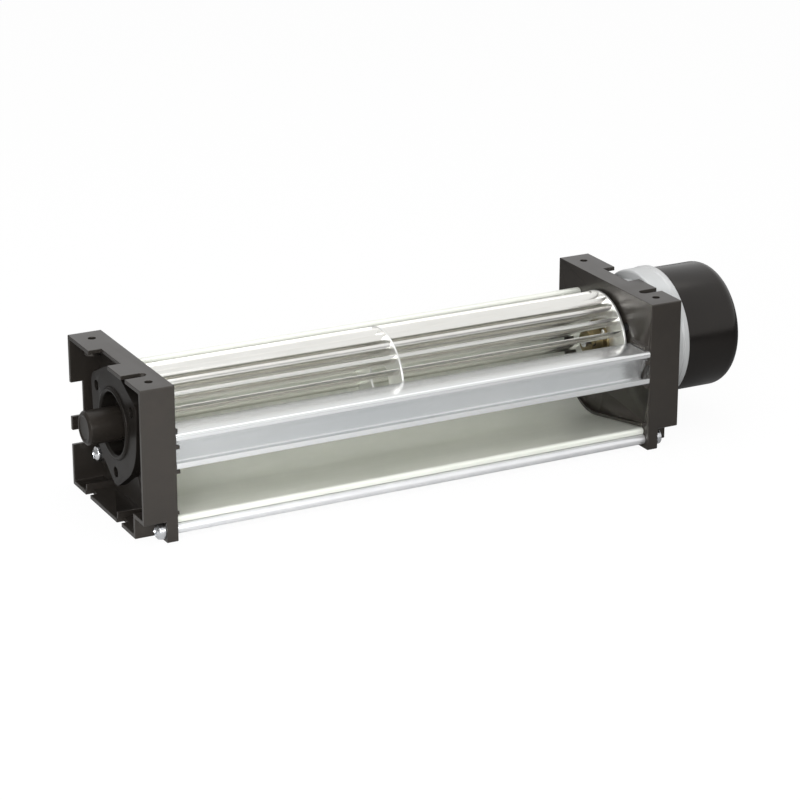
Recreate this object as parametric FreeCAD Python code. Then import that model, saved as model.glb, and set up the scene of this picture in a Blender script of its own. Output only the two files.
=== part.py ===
import FreeCAD, Part
import math
import os

# Cross flow fan: a drum rotor of curved blades between two moulded brackets,
# with a bent scroll casing behind and below it, a stabiliser along its front,
# two tie rods, a sleeve bearing at one end and an induction motor at the other.
# Millimetres and degrees. X runs along the shaft from bearing to motor, Y runs
# from the air outlet to the back, Z is up. The origin is the bottom centre.

# Overall layout
OUTLET_SPAN = 300.0          # clear width between the brackets
BRACKET_WIDTH = 20.0
BRACKET_DEPTH = 106.0
BRACKET_HEIGHT = 90.0
AXIS_HEIGHT = 53.5
CAP_OVERHANG = 12.5          # bearing cap beyond its bracket
MOTOR_OVERHANG = 55.0        # motor beyond its bracket

# Bracket moulding
BRACKET_WALL = 2.4
WEB_THICKNESS = 2.5
CORNER_RADIUS = 0.8
TAB_THICKNESS = 6.6          # lower front tab that takes the tie rod
FOOT_CUT_DEPTH = 13.2
FOOT_CUT_HEIGHT = 12.3
SEAT_DEPTH = 10.5            # seat of bearing plate and motor below the outer face
HUB_OPENING_RADIUS = 22.3
COLLAR_WALL = 2.5
POST_CIRCLE = 28.9
POST_RADIUS = 5.0
POST_ANGLES = (30.0, 150.0, 270.0)
TOP_HOLE_RADIUS = 2.25
TOP_HOLE_SPACING = 82.0
TOP_BOSS_RADIUS = 4.6
TOP_BOSS_HEIGHT = 7.0
TOP_CUT_START = -6.5
TOP_CUT_END = 21.5
TOP_CUT_DEPTH = 8.0
TOP_SLOT_CENTRE = -28.8
TOP_SLOT_WIDTH = 5.8
TOP_SLOT_DEPTH = 13.5
BACK_CUT_DEPTH = 7.5
BACK_CUTS = ((24.6, 33.4), (41.5, 62.0))
BASE_CUT_WIDTH = 6.7
BASE_CUT_DEPTH = 4.2
BASE_CUT_CENTRES = (-16.2, 30.3)
RIB_THICKNESS = 1.6
RIB_HEIGHT = 3.6
RIB_SETBACK = 0.8            # behind the bracket's outer face

# Scroll casing sheet
CASING_SHEET = 0.8
THROAT_GAP = 4.0
THROAT_ANGLE = 36.0
SCROLL_FLARE = 15.1
SCROLL_SWEEP = 74.0
SCROLL_ARCS = 3
FLOOR_CLEARANCE = 3.0        # lowest point of the casing to the base
LIP_SETBACK = 1.0
LIP_BEND = 1.2
LIP_DROP = 1.6
LIP_CLEARANCE = 1.85         # to the front tie rod below
ROLL_BEND = 1.5
ROLL_TURN = 141.0
ROLL_FLANGE = 1.5
GROOVE_DEPTH = 2.5
GROOVE_INNER_RIB = 2.0
GROOVE_OUTER_RIB = 1.2
OUTER_RIB_SHORT = 4.0        # outer rib stops this far before the lip
GROOVE_CLEARANCE = 0.15
SHEET_END_CLEARANCE = 0.2

# Stabiliser sheet
STABILISER_SHEET = 1.2
STABILISER_TOP = 61.5
STABILISER_BASE = 41.3
UPPER_LIP = 4.2
LOWER_LIP = 3.7
TONGUE_GAP = 2.0
NOSE_DROP = 10.0
FOLD_BEND = 0.5
HEM_RETURN = 0.4
INNER_SLOPE = 62.0
LEDGE_THICKNESS = 2.2
LEDGE_START = 3.0
LEDGE_END = 19.0
PEG_SIZE = 2.2
PEG_HEIGHT = 53.0
BACK_PEG_OFFSET = 2.6

# Tie rods, their screws and washers
ROD_RADIUS = 3.0
FRONT_ROD_INSET = 5.6
FRONT_ROD_HEIGHT = 5.6
REAR_ROD_TURN = 3.0          # along the floor bend from the end of the scroll
REAR_ROD_CLEARANCE = 0.4
ROD_BOSS_RADIUS = 6.2
ROD_SCREW_RADIUS = 1.95
ROD_THREAD_CLEARANCE = 0.05
ROD_HOLE_CLEARANCE = 0.25
ROD_SCREW_REACH = 10.0
ROD_THREAD_DEPTH = 13.0
ROD_HEAD_RADIUS = 4.3
ROD_HEAD_HEIGHT = 4.0
WASHER_RADIUS = 4.6
WASHER_THICKNESS = 0.9
DRIVE_RADIUS = 0.45
DRIVE_DEPTH = 1.4

# Rotor
ROTOR_RADIUS = 30.0
DISC_THICKNESS = 1.5
MIDDLE_DISC_THICKNESS = 1.2
DISC_GAP = 2.5               # disc to bracket face
MIDDLE_BORE = 12.0
BLADE_COUNT = 22
BLADE_TIP_INSET = 0.5
BLADE_DEPTH = 5.8
BLADE_THICKNESS = 0.5
BLADE_LEAN = 6.3
BLADE_SAGITTA = 0.85
BLADE_PHASE = 119.4
BLADE_STAKE = 0.5
SLOT_CLEARANCE = 0.04
HUB_RADIUS = 7.5
HUB_LENGTH = 12.0
HUB_FLANGE_RADIUS = 12.5
HUB_FLANGE_THICKNESS = 1.6
HUB_SPIGOT_RADIUS = 5.0
HUB_SPIGOT_CLEARANCE = 0.05
RIVET_COUNT = 4
RIVET_CIRCLE = 10.2
RIVET_RADIUS = 1.0
RIVET_HEAD_RADIUS = 1.7
RIVET_HEAD_HEIGHT = 0.7
RIVET_CLEARANCE = 0.05
SET_SCREW_RADIUS = 2.0
SET_SCREW_LENGTH = 4.3
SET_SCREW_ANGLE = 168.0
SET_SCREW_CLEARANCE = 0.05

# Shafts and bearings
SHAFT_RADIUS = 3.0
SHAFT_PRESS_CLEARANCE = 0.01
RUNNING_CLEARANCE = 0.03
SHAFT_CHAMFER = 0.4
SHAFT_HOLE_CLEARANCE = 1.0
STUB_IN_HUB = 11.0
BEARING_RADIUS = 5.5
BEARING_LENGTH = 9.0
BEARING_START = -4.5
ISOLATOR_WALL = 1.8
ISOLATOR_CLEARANCE = 0.05
HUB_TUBE_WALL = 1.4
HUB_TUBE_END = -9.5
STUB_END = -6.5
CAP_WALL = 0.8
CAP_CLEARANCE = 0.1
CAP_END_WALL = 1.6
CAP_CHAMFER = 1.3
CAP_FOOT_GAP = 0.3

# Bearing plate
PLATE_FACE = 5.5             # outer face below the bracket's outer face
PLATE_RADIUS = 31.8
PLATE_EAR_RADIUS = 7.8
PLATE_RING_INNER = 17.6
PLATE_RING_OUTER = 20.8
PLATE_RING_HEIGHT = 1.4
PLATE_PAN_DEPTH = 5.5        # below the seat
PLATE_PAN_WALL = 2.2
PAN_CLEARANCE = 0.2
EAR_POCKET_RADIUS = 3.0
EAR_POCKET_DEPTH = 3.2
PLATE_SCREW_RADIUS = 1.45
PLATE_SCREW_LENGTH = 5.0
PLATE_HEAD_RADIUS = 2.7
PLATE_HEAD_HEIGHT = 1.7
PILOT_CLEARANCE = 0.05
SCREW_HOLE_CLEARANCE = 0.25

# Motor
HOUSING_SHEET = 1.2
HOUSING_RADIUS = 39.2
HOUSING_GAP = 0.3            # housing shoulder to the bracket's outer face
HOUSING_LENGTH = 16.0        # beyond the bracket
PAN_RADIUS = 33.4
RIM_RADIUS = 39.8
RIM_WIDTH = 4.2
HOUSING_BEND = 4.0
MOTOR_CAP_RADIUS = 37.8
MOTOR_CAP_WALL = 2.2
MOTOR_CAP_ROUND = 8.0
MOTOR_CAP_OVERLAP = 7.0
MOTOR_BEARING_RADIUS = 6.1
MOTOR_BEARING_LENGTH = 8.0
MOTOR_HUB_WALL = 1.8
BEARING_SEAT_CLEARANCE = 0.02
CORE_LENGTH = 20.0
CORE_START = 8.0             # beyond the bracket
CORE_CLEARANCE = 0.1
CORE_BORE = 20.4
AIR_GAP = 0.4
WINDING_LENGTH = 5.5
WINDING_INNER = 22.5
WINDING_OUTER = 31.5
MOTOR_SCREW_RADIUS = 1.45
MOTOR_SCREW_REACH = 5.0
MOTOR_HEAD_RADIUS = 2.7
MOTOR_HEAD_HEIGHT = 1.8
MOTOR_HEAD_CLEARANCE = 0.3
MOTOR_HEAD_SINK = 0.6        # below the bracket's inner face
NUT_ACROSS_FLATS = 5.5
NUT_HEIGHT = 2.4
SPACER_RADIUS = 5.0
THRUST_PAD_THICKNESS = 0.8
THRUST_PLAY = 0.3

# Values worked out from those above
OVERALL_LENGTH = CAP_OVERHANG + 2 * BRACKET_WIDTH + OUTLET_SPAN + MOTOR_OVERHANG
BEARING_FACE = CAP_OVERHANG - OVERALL_LENGTH / 2
MOTOR_FACE = BEARING_FACE + 2 * BRACKET_WIDTH + OUTLET_SPAN
SPAN_START = BEARING_FACE + BRACKET_WIDTH
SPAN_END = SPAN_START + OUTLET_SPAN
FRONT = -BRACKET_DEPTH / 2
BACK = BRACKET_DEPTH / 2
WEB_FACE = BRACKET_WIDTH - WEB_THICKNESS
TAB_FACE = BRACKET_WIDTH - TAB_THICKNESS
PAN_FACE = SEAT_DEPTH + PLATE_PAN_DEPTH
MOTOR_HEAD_FACE = BRACKET_WIDTH - MOTOR_HEAD_SINK - MOTOR_HEAD_HEIGHT
DISC_START = SPAN_START + DISC_GAP
DISC_END = SPAN_END - DISC_GAP
FRONT_ROD = (FRONT + FRONT_ROD_INSET, FRONT_ROD_HEIGHT)
AXIS = FreeCAD.Vector(0, 0, AXIS_HEIGHT)
ALONG = FreeCAD.Vector(1, 0, 0)
OUTSIDE = 1.0                # how far cutting tools run past a face


def unit(angle):
    """Unit step in the section plane at an angle from +Y towards +Z."""
    return math.cos(math.radians(angle)), math.sin(math.radians(angle))


def step(point, angle, distance):
    """Point in the section plane reached from another at an angle and distance."""
    dy, dz = unit(angle)
    return point[0] + distance * dy, point[1] + distance * dz


def around_axis(angle, radius):
    """Point in the section plane at an angle and radius about the shaft."""
    return step((0.0, AXIS_HEIGHT), angle, radius)


def at(x, point):
    """Vector of a section point at one place along X."""
    return FreeCAD.Vector(x, point[0], point[1])


def rod(x_start, x_end, radius, centre=(0.0, AXIS_HEIGHT)):
    """Cylinder along X between two places."""
    return Part.makeCylinder(radius, x_end - x_start, at(x_start, centre), ALONG)


def tube(x_start, x_end, outer, inner, centre=(0.0, AXIS_HEIGHT)):
    """Tube along X between two places."""
    bore = rod(x_start - OUTSIDE, x_end + OUTSIDE, inner, centre)
    return rod(x_start, x_end, outer, centre).cut(bore)


def block(x_range, y_range, z_range):
    """Box between two places along each axis."""
    corner = FreeCAD.Vector(x_range[0], y_range[0], z_range[0])
    sizes = [high - low for low, high in (x_range, y_range, z_range)]
    return Part.makeBox(sizes[0], sizes[1], sizes[2], corner)


def turned(profile):
    """Solid turned about the shaft from (x, radius) points and ("arc", mid, end) marks."""
    edges = []
    first = profile[0]
    here = first
    for mark in list(profile[1:]) + [first]:
        if mark[0] == "arc":
            mid, end = mark[1], mark[2]
            points = [FreeCAD.Vector(p[0], 0, AXIS_HEIGHT + p[1]) for p in (here, mid, end)]
            edges.append(Part.Arc(*points).toShape())
            here = end
        elif mark != here:
            points = [FreeCAD.Vector(p[0], 0, AXIS_HEIGHT + p[1]) for p in (here, mark)]
            edges.append(Part.makeLine(*points))
            here = mark
    face = Part.Face(Part.Wire(edges))
    return face.revolve(AXIS, ALONG, 360)


def rounded_prism(points, radius, x_start, x_end):
    """Prism along X with a polygon section whose corners are all rounded."""
    edges = []
    count = len(points)
    tangents = []
    for index, corner in enumerate(points):
        before = points[index - 1]
        after = points[(index + 1) % count]
        back = math.degrees(math.atan2(before[1] - corner[1], before[0] - corner[0]))
        ahead = math.degrees(math.atan2(after[1] - corner[1], after[0] - corner[0]))
        half = math.radians(((ahead - back) % 360) / 2)
        reach = radius / abs(math.tan(half))
        middle = back + math.degrees(half)
        if half > math.pi / 2:
            middle += 180
        centre = step(corner, middle, radius / abs(math.sin(half)))
        crown = step(centre, middle + 180, radius)
        tangents.append((step(corner, back, reach), crown, step(corner, ahead, reach)))
    for index, (entry, crown, leave) in enumerate(tangents):
        edges.append(Part.Arc(at(x_start, entry), at(x_start, crown), at(x_start, leave)).toShape())
        following = tangents[(index + 1) % count][0]
        edges.append(Part.makeLine(at(x_start, leave), at(x_start, following)))
    face = Part.Face(Part.Wire(edges))
    return face.extrude(FreeCAD.Vector(x_end - x_start, 0, 0))


def walk(start, heading, runs):
    """End point and heading after straights (length,) and bends (radius, turn)."""
    point = start
    for run in runs:
        if len(run) == 1:
            point = step(point, heading, run[0])
        else:
            side = math.copysign(90, run[1])
            centre = step(point, heading + side, run[0])
            heading += run[1]
            point = step(centre, heading - side, run[0])
    return point, heading


def strip(start, heading, runs, thickness, x_start, x_end):
    """Bent sheet along X: its right-hand face follows the runs, its left is one sheet off."""
    right = []
    left = []
    point = start
    for run in runs:
        end, new_heading = walk(point, heading, [run])
        if len(run) == 1:
            right.append(Part.makeLine(at(x_start, point), at(x_start, end)))
            shifted = [at(x_start, step(p, heading + 90, thickness)) for p in (point, end)]
            left.append(Part.makeLine(*shifted))
        else:
            side = math.copysign(90, run[1])
            centre = step(point, heading + side, run[0])
            left_radius = run[0] - math.copysign(thickness, run[1])
            for edges, radius in ((right, run[0]), (left, left_radius)):
                turns = [heading - side + share * run[1] for share in (0.0, 0.5, 1.0)]
                marks = [at(x_start, step(centre, turn, radius)) for turn in turns]
                edges.append(Part.Arc(*marks).toShape())
        point = end
        heading = new_heading
    open_end = Part.makeLine(right[-1].Vertexes[-1].Point, left[-1].Vertexes[-1].Point)
    near_end = Part.makeLine(left[0].Vertexes[0].Point, right[0].Vertexes[0].Point)
    wire = Part.Wire(right + [open_end] + list(reversed(left)) + [near_end])
    return Part.Face(wire).extrude(FreeCAD.Vector(x_end - x_start, 0, 0))


def shifted_runs(runs, distance):
    """The same bends followed a distance to the right of the first path."""
    moved = []
    for run in runs:
        if len(run) == 1:
            moved.append(run)
        else:
            moved.append((run[0] + distance * math.copysign(1, run[1]), run[1]))
    return moved


def shifted_strip(path, distance, thickness, x_start, x_end):
    """Rib that runs beside a path, a distance to its right and one thickness wide."""
    start, heading, runs = path
    begin = step(start, heading - 90, distance)
    return strip(begin, heading, shifted_runs(runs, distance), thickness, x_start, x_end)


def scroll_path():
    """Air side of the casing: growing arcs from the throat, a floor bend, a rising floor."""
    start = around_axis(THROAT_ANGLE, ROTOR_RADIUS + THROAT_GAP)
    heading = THROAT_ANGLE - 90 + SCROLL_FLARE
    turn = SCROLL_SWEEP / SCROLL_ARCS
    growth = math.exp(math.tan(math.radians(SCROLL_FLARE)) * math.radians(turn))
    radius = (ROTOR_RADIUS + THROAT_GAP) * math.sqrt(growth) / math.cos(math.radians(SCROLL_FLARE))
    runs = [(radius * growth ** index, -turn) for index in range(SCROLL_ARCS)]
    point, direction = walk(start, heading, runs)
    drop = point[1] - FLOOR_CLEARANCE - CASING_SHEET
    floor_radius = drop / (1 - unit(direction - 90)[1])
    floor_centre = step(point, direction - 90, floor_radius)
    lip_radius = LIP_BEND + CASING_SHEET
    lip_height = FRONT_ROD_HEIGHT + ROD_RADIUS + LIP_CLEARANCE + LIP_DROP
    lip_centre = (FRONT + LIP_SETBACK + lip_radius, lip_height)
    span = math.dist(floor_centre, lip_centre)
    rise = math.atan2(lip_centre[1] - floor_centre[1], lip_centre[0] - floor_centre[0])
    rise -= math.asin((floor_radius + lip_radius) / span)
    floor_heading = math.degrees(rise) % 360
    runs.append((floor_radius, floor_heading - direction - 360))
    runs.append((math.sqrt(span ** 2 - (floor_radius + lip_radius) ** 2),))
    return start, heading, runs


def rear_rod_centre():
    """Place of the rear tie rod, just outside the casing where the scroll meets its floor bend."""
    start, heading, runs = scroll_path()
    part_bend = (runs[SCROLL_ARCS][0], -REAR_ROD_TURN)
    point, direction = walk(start, heading, runs[:SCROLL_ARCS] + [part_bend])
    return step(point, direction + 90, CASING_SHEET + REAR_ROD_CLEARANCE + ROD_RADIUS)


def scroll_casing():
    """Rolled sheet with a rolled stiffening edge at the throat and a lip at the outlet."""
    start, heading, runs = scroll_path()
    roll_radius = ROLL_BEND + CASING_SHEET
    roll_centre = step(start, heading + 90, roll_radius)
    edge_heading = heading - ROLL_TURN
    edge = step(roll_centre, edge_heading - 90, roll_radius)
    tip = step(edge, edge_heading, -ROLL_FLANGE)
    roll = [(ROLL_FLANGE,), (roll_radius, ROLL_TURN)]
    _, floor_heading = walk(start, heading, runs)
    lip = [(LIP_BEND + CASING_SHEET, -90 - floor_heading), (LIP_DROP,)]
    x_start = SPAN_START + SHEET_END_CLEARANCE
    x_end = SPAN_END - SHEET_END_CLEARANCE
    return strip(tip, edge_heading, roll + runs + lip, CASING_SHEET, x_start, x_end)


def stabiliser():
    """Folded sheet: nose by the rotor, top plate, front lip, sloped recess and lower lip."""
    outer = FOLD_BEND + STABILISER_SHEET
    nose = (-(ROTOR_RADIUS + TONGUE_GAP), STABILISER_TOP - NOSE_DROP)
    runs = [(NOSE_DROP - outer,), (outer, 90)]
    runs.append((nose[0] - FRONT - 2 * outer,))
    runs += [(outer, 90), (UPPER_LIP - 2 * outer,), (outer, 90), (HEM_RETURN,)]
    runs.append((FOLD_BEND, -INNER_SLOPE))
    slope_start, slope_heading = walk(nose, 90, runs)
    lower_fold = (FOLD_BEND, INNER_SLOPE - 180)
    fold_end, _ = walk(slope_start, slope_heading, [lower_fold])
    flange_height = STABILISER_BASE + STABILISER_SHEET
    runs.append(((fold_end[1] - flange_height) / math.sin(math.radians(INNER_SLOPE)),))
    runs.append(lower_fold)
    flange_start, _ = walk(nose, 90, runs)
    runs.append((flange_start[0] - FRONT - outer,))
    runs += [(FOLD_BEND, -90), (LOWER_LIP - outer,)]
    x_start = SPAN_START + SHEET_END_CLEARANCE
    x_end = SPAN_END - SHEET_END_CLEARANCE
    return strip(nose, 90, runs, STABILISER_SHEET, x_start, x_end)


def bracket_outline(inset):
    """Side view of the bracket's deep part, with the front foot cut away."""
    foot_y = FRONT + FOOT_CUT_DEPTH + inset
    foot_z = FOOT_CUT_HEIGHT + inset
    low, high = inset, BRACKET_HEIGHT - inset
    near, far = FRONT + inset, BACK - inset
    return [(foot_y, low), (far, low), (far, high), (near, high), (near, foot_z), (foot_y, foot_z)]


def bracket_shell():
    """Open box of the bracket, in depth u from its outer face, with its foot tab."""
    deep = rounded_prism(bracket_outline(0.0), CORNER_RADIUS, 0, BRACKET_WIDTH)
    full = [(FRONT, 0), (BACK, 0), (BACK, BRACKET_HEIGHT), (FRONT, BRACKET_HEIGHT)]
    plate = rounded_prism(full, CORNER_RADIUS, TAB_FACE, BRACKET_WIDTH)
    pocket = rounded_prism(bracket_outline(BRACKET_WALL), CORNER_RADIUS, -OUTSIDE, WEB_FACE)
    return deep.fuse(plate).cut(pocket)


def bracket_additions():
    """Bosses, ribs, collar and grooves that stand on the bracket's walls and web."""
    parts = [rod(SEAT_DEPTH, WEB_FACE + OUTSIDE, HUB_OPENING_RADIUS + COLLAR_WALL)]
    for angle in POST_ANGLES:
        centre = around_axis(angle, POST_CIRCLE)
        parts.append(rod(SEAT_DEPTH, WEB_FACE + OUTSIDE, POST_RADIUS, centre))
    parts.append(rod(TAB_FACE, WEB_FACE + OUTSIDE, ROD_BOSS_RADIUS, rear_rod_centre()))
    ceiling = BRACKET_HEIGHT - BRACKET_WALL
    middle = BRACKET_WIDTH / 2
    for side in (-1, 1):
        y = side * TOP_HOLE_SPACING / 2
        foot = FreeCAD.Vector(middle, y, ceiling - TOP_BOSS_HEIGHT)
        parts.append(Part.makeCylinder(TOP_BOSS_RADIUS, TOP_BOSS_HEIGHT + BRACKET_WALL / 2, foot))
        wall = side * (BACK - BRACKET_WALL / 2)
        x_range = (middle - RIB_THICKNESS / 2, middle + RIB_THICKNESS / 2)
        y_range = (min(y, wall), max(y, wall))
        parts.append(block(x_range, y_range, (ceiling - TOP_BOSS_HEIGHT, ceiling + BRACKET_WALL / 2)))
    for centre in BASE_CUT_CENTRES:
        y_start = centre + BASE_CUT_WIDTH / 2
        y_range = (y_start, y_start + RIB_THICKNESS)
        z_range = (BRACKET_WALL / 2, BRACKET_WALL + RIB_HEIGHT)
        parts.append(block((RIB_SETBACK, WEB_FACE + OUTSIDE), y_range, z_range))
    return parts


def bracket_guides():
    """Ribs on the bracket's inner face that locate the casing and the stabiliser."""
    path = scroll_path()
    x_start = BRACKET_WIDTH - OUTSIDE
    x_end = BRACKET_WIDTH + GROOVE_DEPTH
    inner = shifted_strip(path, GROOVE_CLEARANCE + GROOVE_INNER_RIB, GROOVE_INNER_RIB, x_start, x_end)
    outer_offset = -(CASING_SHEET + GROOVE_CLEARANCE)
    start, heading, runs = path
    outer = []
    for first, last in ((1, SCROLL_ARCS - 1), (SCROLL_ARCS + 1, SCROLL_ARCS + 2)):
        begin, direction = walk(start, heading, runs[:first])
        section = runs[first:last]
        if len(section[-1]) == 1:
            section = [(section[-1][0] - OUTER_RIB_SHORT,)]
        part_path = (begin, direction, section)
        outer.append(shifted_strip(part_path, outer_offset, GROOVE_OUTER_RIB, x_start, x_end))
    x_range = (x_start, x_end)
    gap = GROOVE_CLEARANCE
    ledge_y = (FRONT + LEDGE_START, FRONT + LEDGE_END)
    upper = block(x_range, ledge_y, (STABILISER_TOP + gap, STABILISER_TOP + gap + LEDGE_THICKNESS))
    lower_y = (FRONT + CORNER_RADIUS, FRONT + LEDGE_START + LOWER_LIP)
    lower = block(x_range, lower_y, (STABILISER_BASE - gap - LEDGE_THICKNESS, STABILISER_BASE - gap))
    peg_z = (PEG_HEIGHT, PEG_HEIGHT + PEG_SIZE)
    peg_y = FRONT + CORNER_RADIUS
    peg = block(x_range, (peg_y, peg_y + PEG_SIZE), peg_z)
    wall_y = FRONT + (STABILISER_TOP - UPPER_LIP - PEG_HEIGHT) / math.tan(math.radians(INNER_SLOPE))
    back_y = wall_y + 2 * STABILISER_SHEET + BACK_PEG_OFFSET
    back_peg = block(x_range, (back_y, back_y + PEG_SIZE), peg_z)
    return [inner, *outer, upper, lower, peg, back_peg]


def bracket_cuts(post_hole):
    """Everything cut from the bracket: hub opening, slots, holes and edge gaps."""
    cuts = [rod(-OUTSIDE, BRACKET_WIDTH + OUTSIDE, HUB_OPENING_RADIUS)]
    for angle in POST_ANGLES:
        radius, depth = post_hole
        cuts.append(rod(SEAT_DEPTH - OUTSIDE, depth, radius, around_axis(angle, POST_CIRCLE)))
    hole = ROD_SCREW_RADIUS + ROD_HOLE_CLEARANCE
    for centre in (FRONT_ROD, rear_rod_centre()):
        cuts.append(rod(TAB_FACE - OUTSIDE, BRACKET_WIDTH + OUTSIDE, hole, centre))
    above = (BRACKET_HEIGHT - BRACKET_WALL - OUTSIDE, BRACKET_HEIGHT + OUTSIDE)
    cuts.append(block((-OUTSIDE, TOP_CUT_DEPTH), (TOP_CUT_START, TOP_CUT_END), above))
    half = TOP_SLOT_WIDTH / 2
    slot_y = (TOP_SLOT_CENTRE - half, TOP_SLOT_CENTRE + half)
    cuts.append(block((-OUTSIDE, TOP_SLOT_DEPTH - half), slot_y, above))
    slot_end = FreeCAD.Vector(TOP_SLOT_DEPTH - half, TOP_SLOT_CENTRE, above[0])
    cuts.append(Part.makeCylinder(half, above[1] - above[0], slot_end))
    behind = (BACK - BRACKET_WALL - OUTSIDE, BACK + OUTSIDE)
    for z_range in BACK_CUTS:
        cuts.append(block((-OUTSIDE, BACK_CUT_DEPTH), behind, z_range))
    for centre in BASE_CUT_CENTRES:
        y_range = (centre - BASE_CUT_WIDTH / 2, centre + BASE_CUT_WIDTH / 2)
        cuts.append(block((-OUTSIDE, BASE_CUT_DEPTH), y_range, (-OUTSIDE, BRACKET_WALL + OUTSIDE)))
    for side in (-1, 1):
        low = BRACKET_HEIGHT - BRACKET_WALL - TOP_BOSS_HEIGHT - OUTSIDE
        foot = FreeCAD.Vector(BRACKET_WIDTH / 2, side * TOP_HOLE_SPACING / 2, low)
        cuts.append(Part.makeCylinder(TOP_HOLE_RADIUS, BRACKET_HEIGHT - low + OUTSIDE, foot))
    return cuts


def bracket(post_hole):
    """One bracket in depth u from its outer face, with holes of a size in its posts."""
    body = bracket_shell().fuse(bracket_additions() + bracket_guides())
    return body.cut(bracket_cuts(post_hole)).removeSplitter()


def bearing_side(shape):
    """Shape drawn in depth u, placed at the bearing end."""
    placed = shape.copy()
    placed.translate(FreeCAD.Vector(BEARING_FACE, 0, 0))
    return placed


def motor_side(shape):
    """Shape drawn in depth u, mirrored and placed at the motor end."""
    placed = shape.mirror(FreeCAD.Vector(0, 0, 0), ALONG)
    placed.translate(FreeCAD.Vector(MOTOR_FACE, 0, 0))
    return placed


def bearing_bracket():
    """Bracket at the bearing end, its posts drilled blind for tapping screws."""
    pilot = PLATE_SCREW_RADIUS + PILOT_CLEARANCE
    floor = PLATE_FACE + EAR_POCKET_DEPTH + PLATE_SCREW_LENGTH + PILOT_CLEARANCE
    return bearing_side(bracket((pilot, floor)))


def motor_bracket():
    """Bracket at the motor end, its posts drilled through and the screw heads sunk in it."""
    hole = MOTOR_SCREW_RADIUS + SCREW_HOLE_CLEARANCE
    body = bracket((hole, BRACKET_WIDTH + OUTSIDE))
    pocket = MOTOR_HEAD_RADIUS + MOTOR_HEAD_CLEARANCE
    ends = (MOTOR_HEAD_FACE, BRACKET_WIDTH + OUTSIDE)
    pockets = [rod(*ends, pocket, around_axis(angle, POST_CIRCLE)) for angle in POST_ANGLES]
    return motor_side(body.cut(pockets))


def tie_rod(centre):
    """Round rod between the brackets, tapped at both ends."""
    body = rod(SPAN_START, SPAN_END, ROD_RADIUS, centre)
    thread = ROD_SCREW_RADIUS + ROD_THREAD_CLEARANCE
    near = rod(SPAN_START - OUTSIDE, SPAN_START + ROD_THREAD_DEPTH, thread, centre)
    far = rod(SPAN_END - ROD_THREAD_DEPTH, SPAN_END + OUTSIDE, thread, centre)
    return body.cut([near, far])


def pan_screw(head_face, reach, shank, head_radius, head_height, centre):
    """Pan head screw with a cross recess, its head outward of a face at depth u."""
    crown = head_height / 2
    blank = rod(head_face - head_height, head_face, head_radius, centre)
    rims = [edge for edge in blank.Edges if edge.Closed]
    outer_rim = min(rims, key=lambda edge: edge.CenterOfMass.x)
    head = blank.makeFillet(crown, [outer_rim])
    body = head.fuse(rod(head_face, head_face + reach, shank, centre))
    arm = head_radius / 2
    x_range = (head_face - head_height - OUTSIDE, head_face - head_height + DRIVE_DEPTH)
    for half_y, half_z in ((arm, DRIVE_RADIUS), (DRIVE_RADIUS, arm)):
        y_range = (centre[0] - half_y, centre[0] + half_y)
        z_range = (centre[1] - half_z, centre[1] + half_z)
        body = body.cut(block(x_range, y_range, z_range))
    return body


def rod_screws():
    """Four pan head screws that clamp the brackets to the tie rods."""
    face = TAB_FACE - WASHER_THICKNESS
    reach = WASHER_THICKNESS + TAB_THICKNESS + ROD_SCREW_REACH
    screws = []
    for centre in (FRONT_ROD, rear_rod_centre()):
        screw = pan_screw(face, reach, ROD_SCREW_RADIUS, ROD_HEAD_RADIUS, ROD_HEAD_HEIGHT, centre)
        screws += [bearing_side(screw), motor_side(screw)]
    return Part.makeCompound(screws)


def rod_washers():
    """Flat washers under the four tie rod screws."""
    washers = []
    for centre in (FRONT_ROD, rear_rod_centre()):
        hole = ROD_SCREW_RADIUS + ROD_HOLE_CLEARANCE
        washer = tube(TAB_FACE - WASHER_THICKNESS, TAB_FACE, WASHER_RADIUS, hole, centre)
        washers += [bearing_side(washer), motor_side(washer)]
    return Part.makeCompound(washers)


def blade_section(grow):
    """Corner points and mid points of one blade's curved section, grown all round."""
    tip_radius = ROTOR_RADIUS - BLADE_TIP_INSET
    tip = around_axis(0.0, tip_radius)
    root = around_axis(BLADE_LEAN, tip_radius - BLADE_DEPTH)
    chord = math.dist(tip, root)
    angle = math.degrees(math.atan2(root[1] - tip[1], root[0] - tip[0]))
    middle = step(tip, angle, chord / 2)
    radius = (chord ** 2 / 4 + BLADE_SAGITTA ** 2) / (2 * BLADE_SAGITTA)
    centre = step(middle, angle + 90, radius - BLADE_SAGITTA)
    half = math.degrees(math.asin(chord / 2 / radius)) + math.degrees(grow / radius)
    outward = angle - 90
    offset = BLADE_THICKNESS / 2 + grow
    outer = [step(centre, outward + turn, radius + offset) for turn in (-half, 0.0, half)]
    inner = [step(centre, outward + turn, radius - offset) for turn in (half, 0.0, -half)]
    return outer, inner


def blade(x_start, x_end, grow=0.0):
    """One curved blade along X; grow makes the slot that it passes through."""
    outer, inner = blade_section(grow)
    curves = [Part.Arc(*[at(x_start, point) for point in side]).toShape() for side in (outer, inner)]
    ends = [
        Part.makeLine(at(x_start, outer[2]), at(x_start, inner[0])),
        Part.makeLine(at(x_start, inner[2]), at(x_start, outer[0])),
    ]
    wire = Part.Wire([curves[0], ends[0], curves[1], ends[1]])
    return Part.Face(wire).extrude(FreeCAD.Vector(x_end - x_start, 0, 0))


def blade_ring(x_start, x_end, grow=0.0):
    """Blades set evenly about the shaft."""
    master = blade(x_start, x_end, grow)
    ring = []
    for index in range(BLADE_COUNT):
        copy = master.copy()
        copy.rotate(AXIS, ALONG, BLADE_PHASE + index * 360.0 / BLADE_COUNT)
        ring.append(copy)
    return ring


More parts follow.
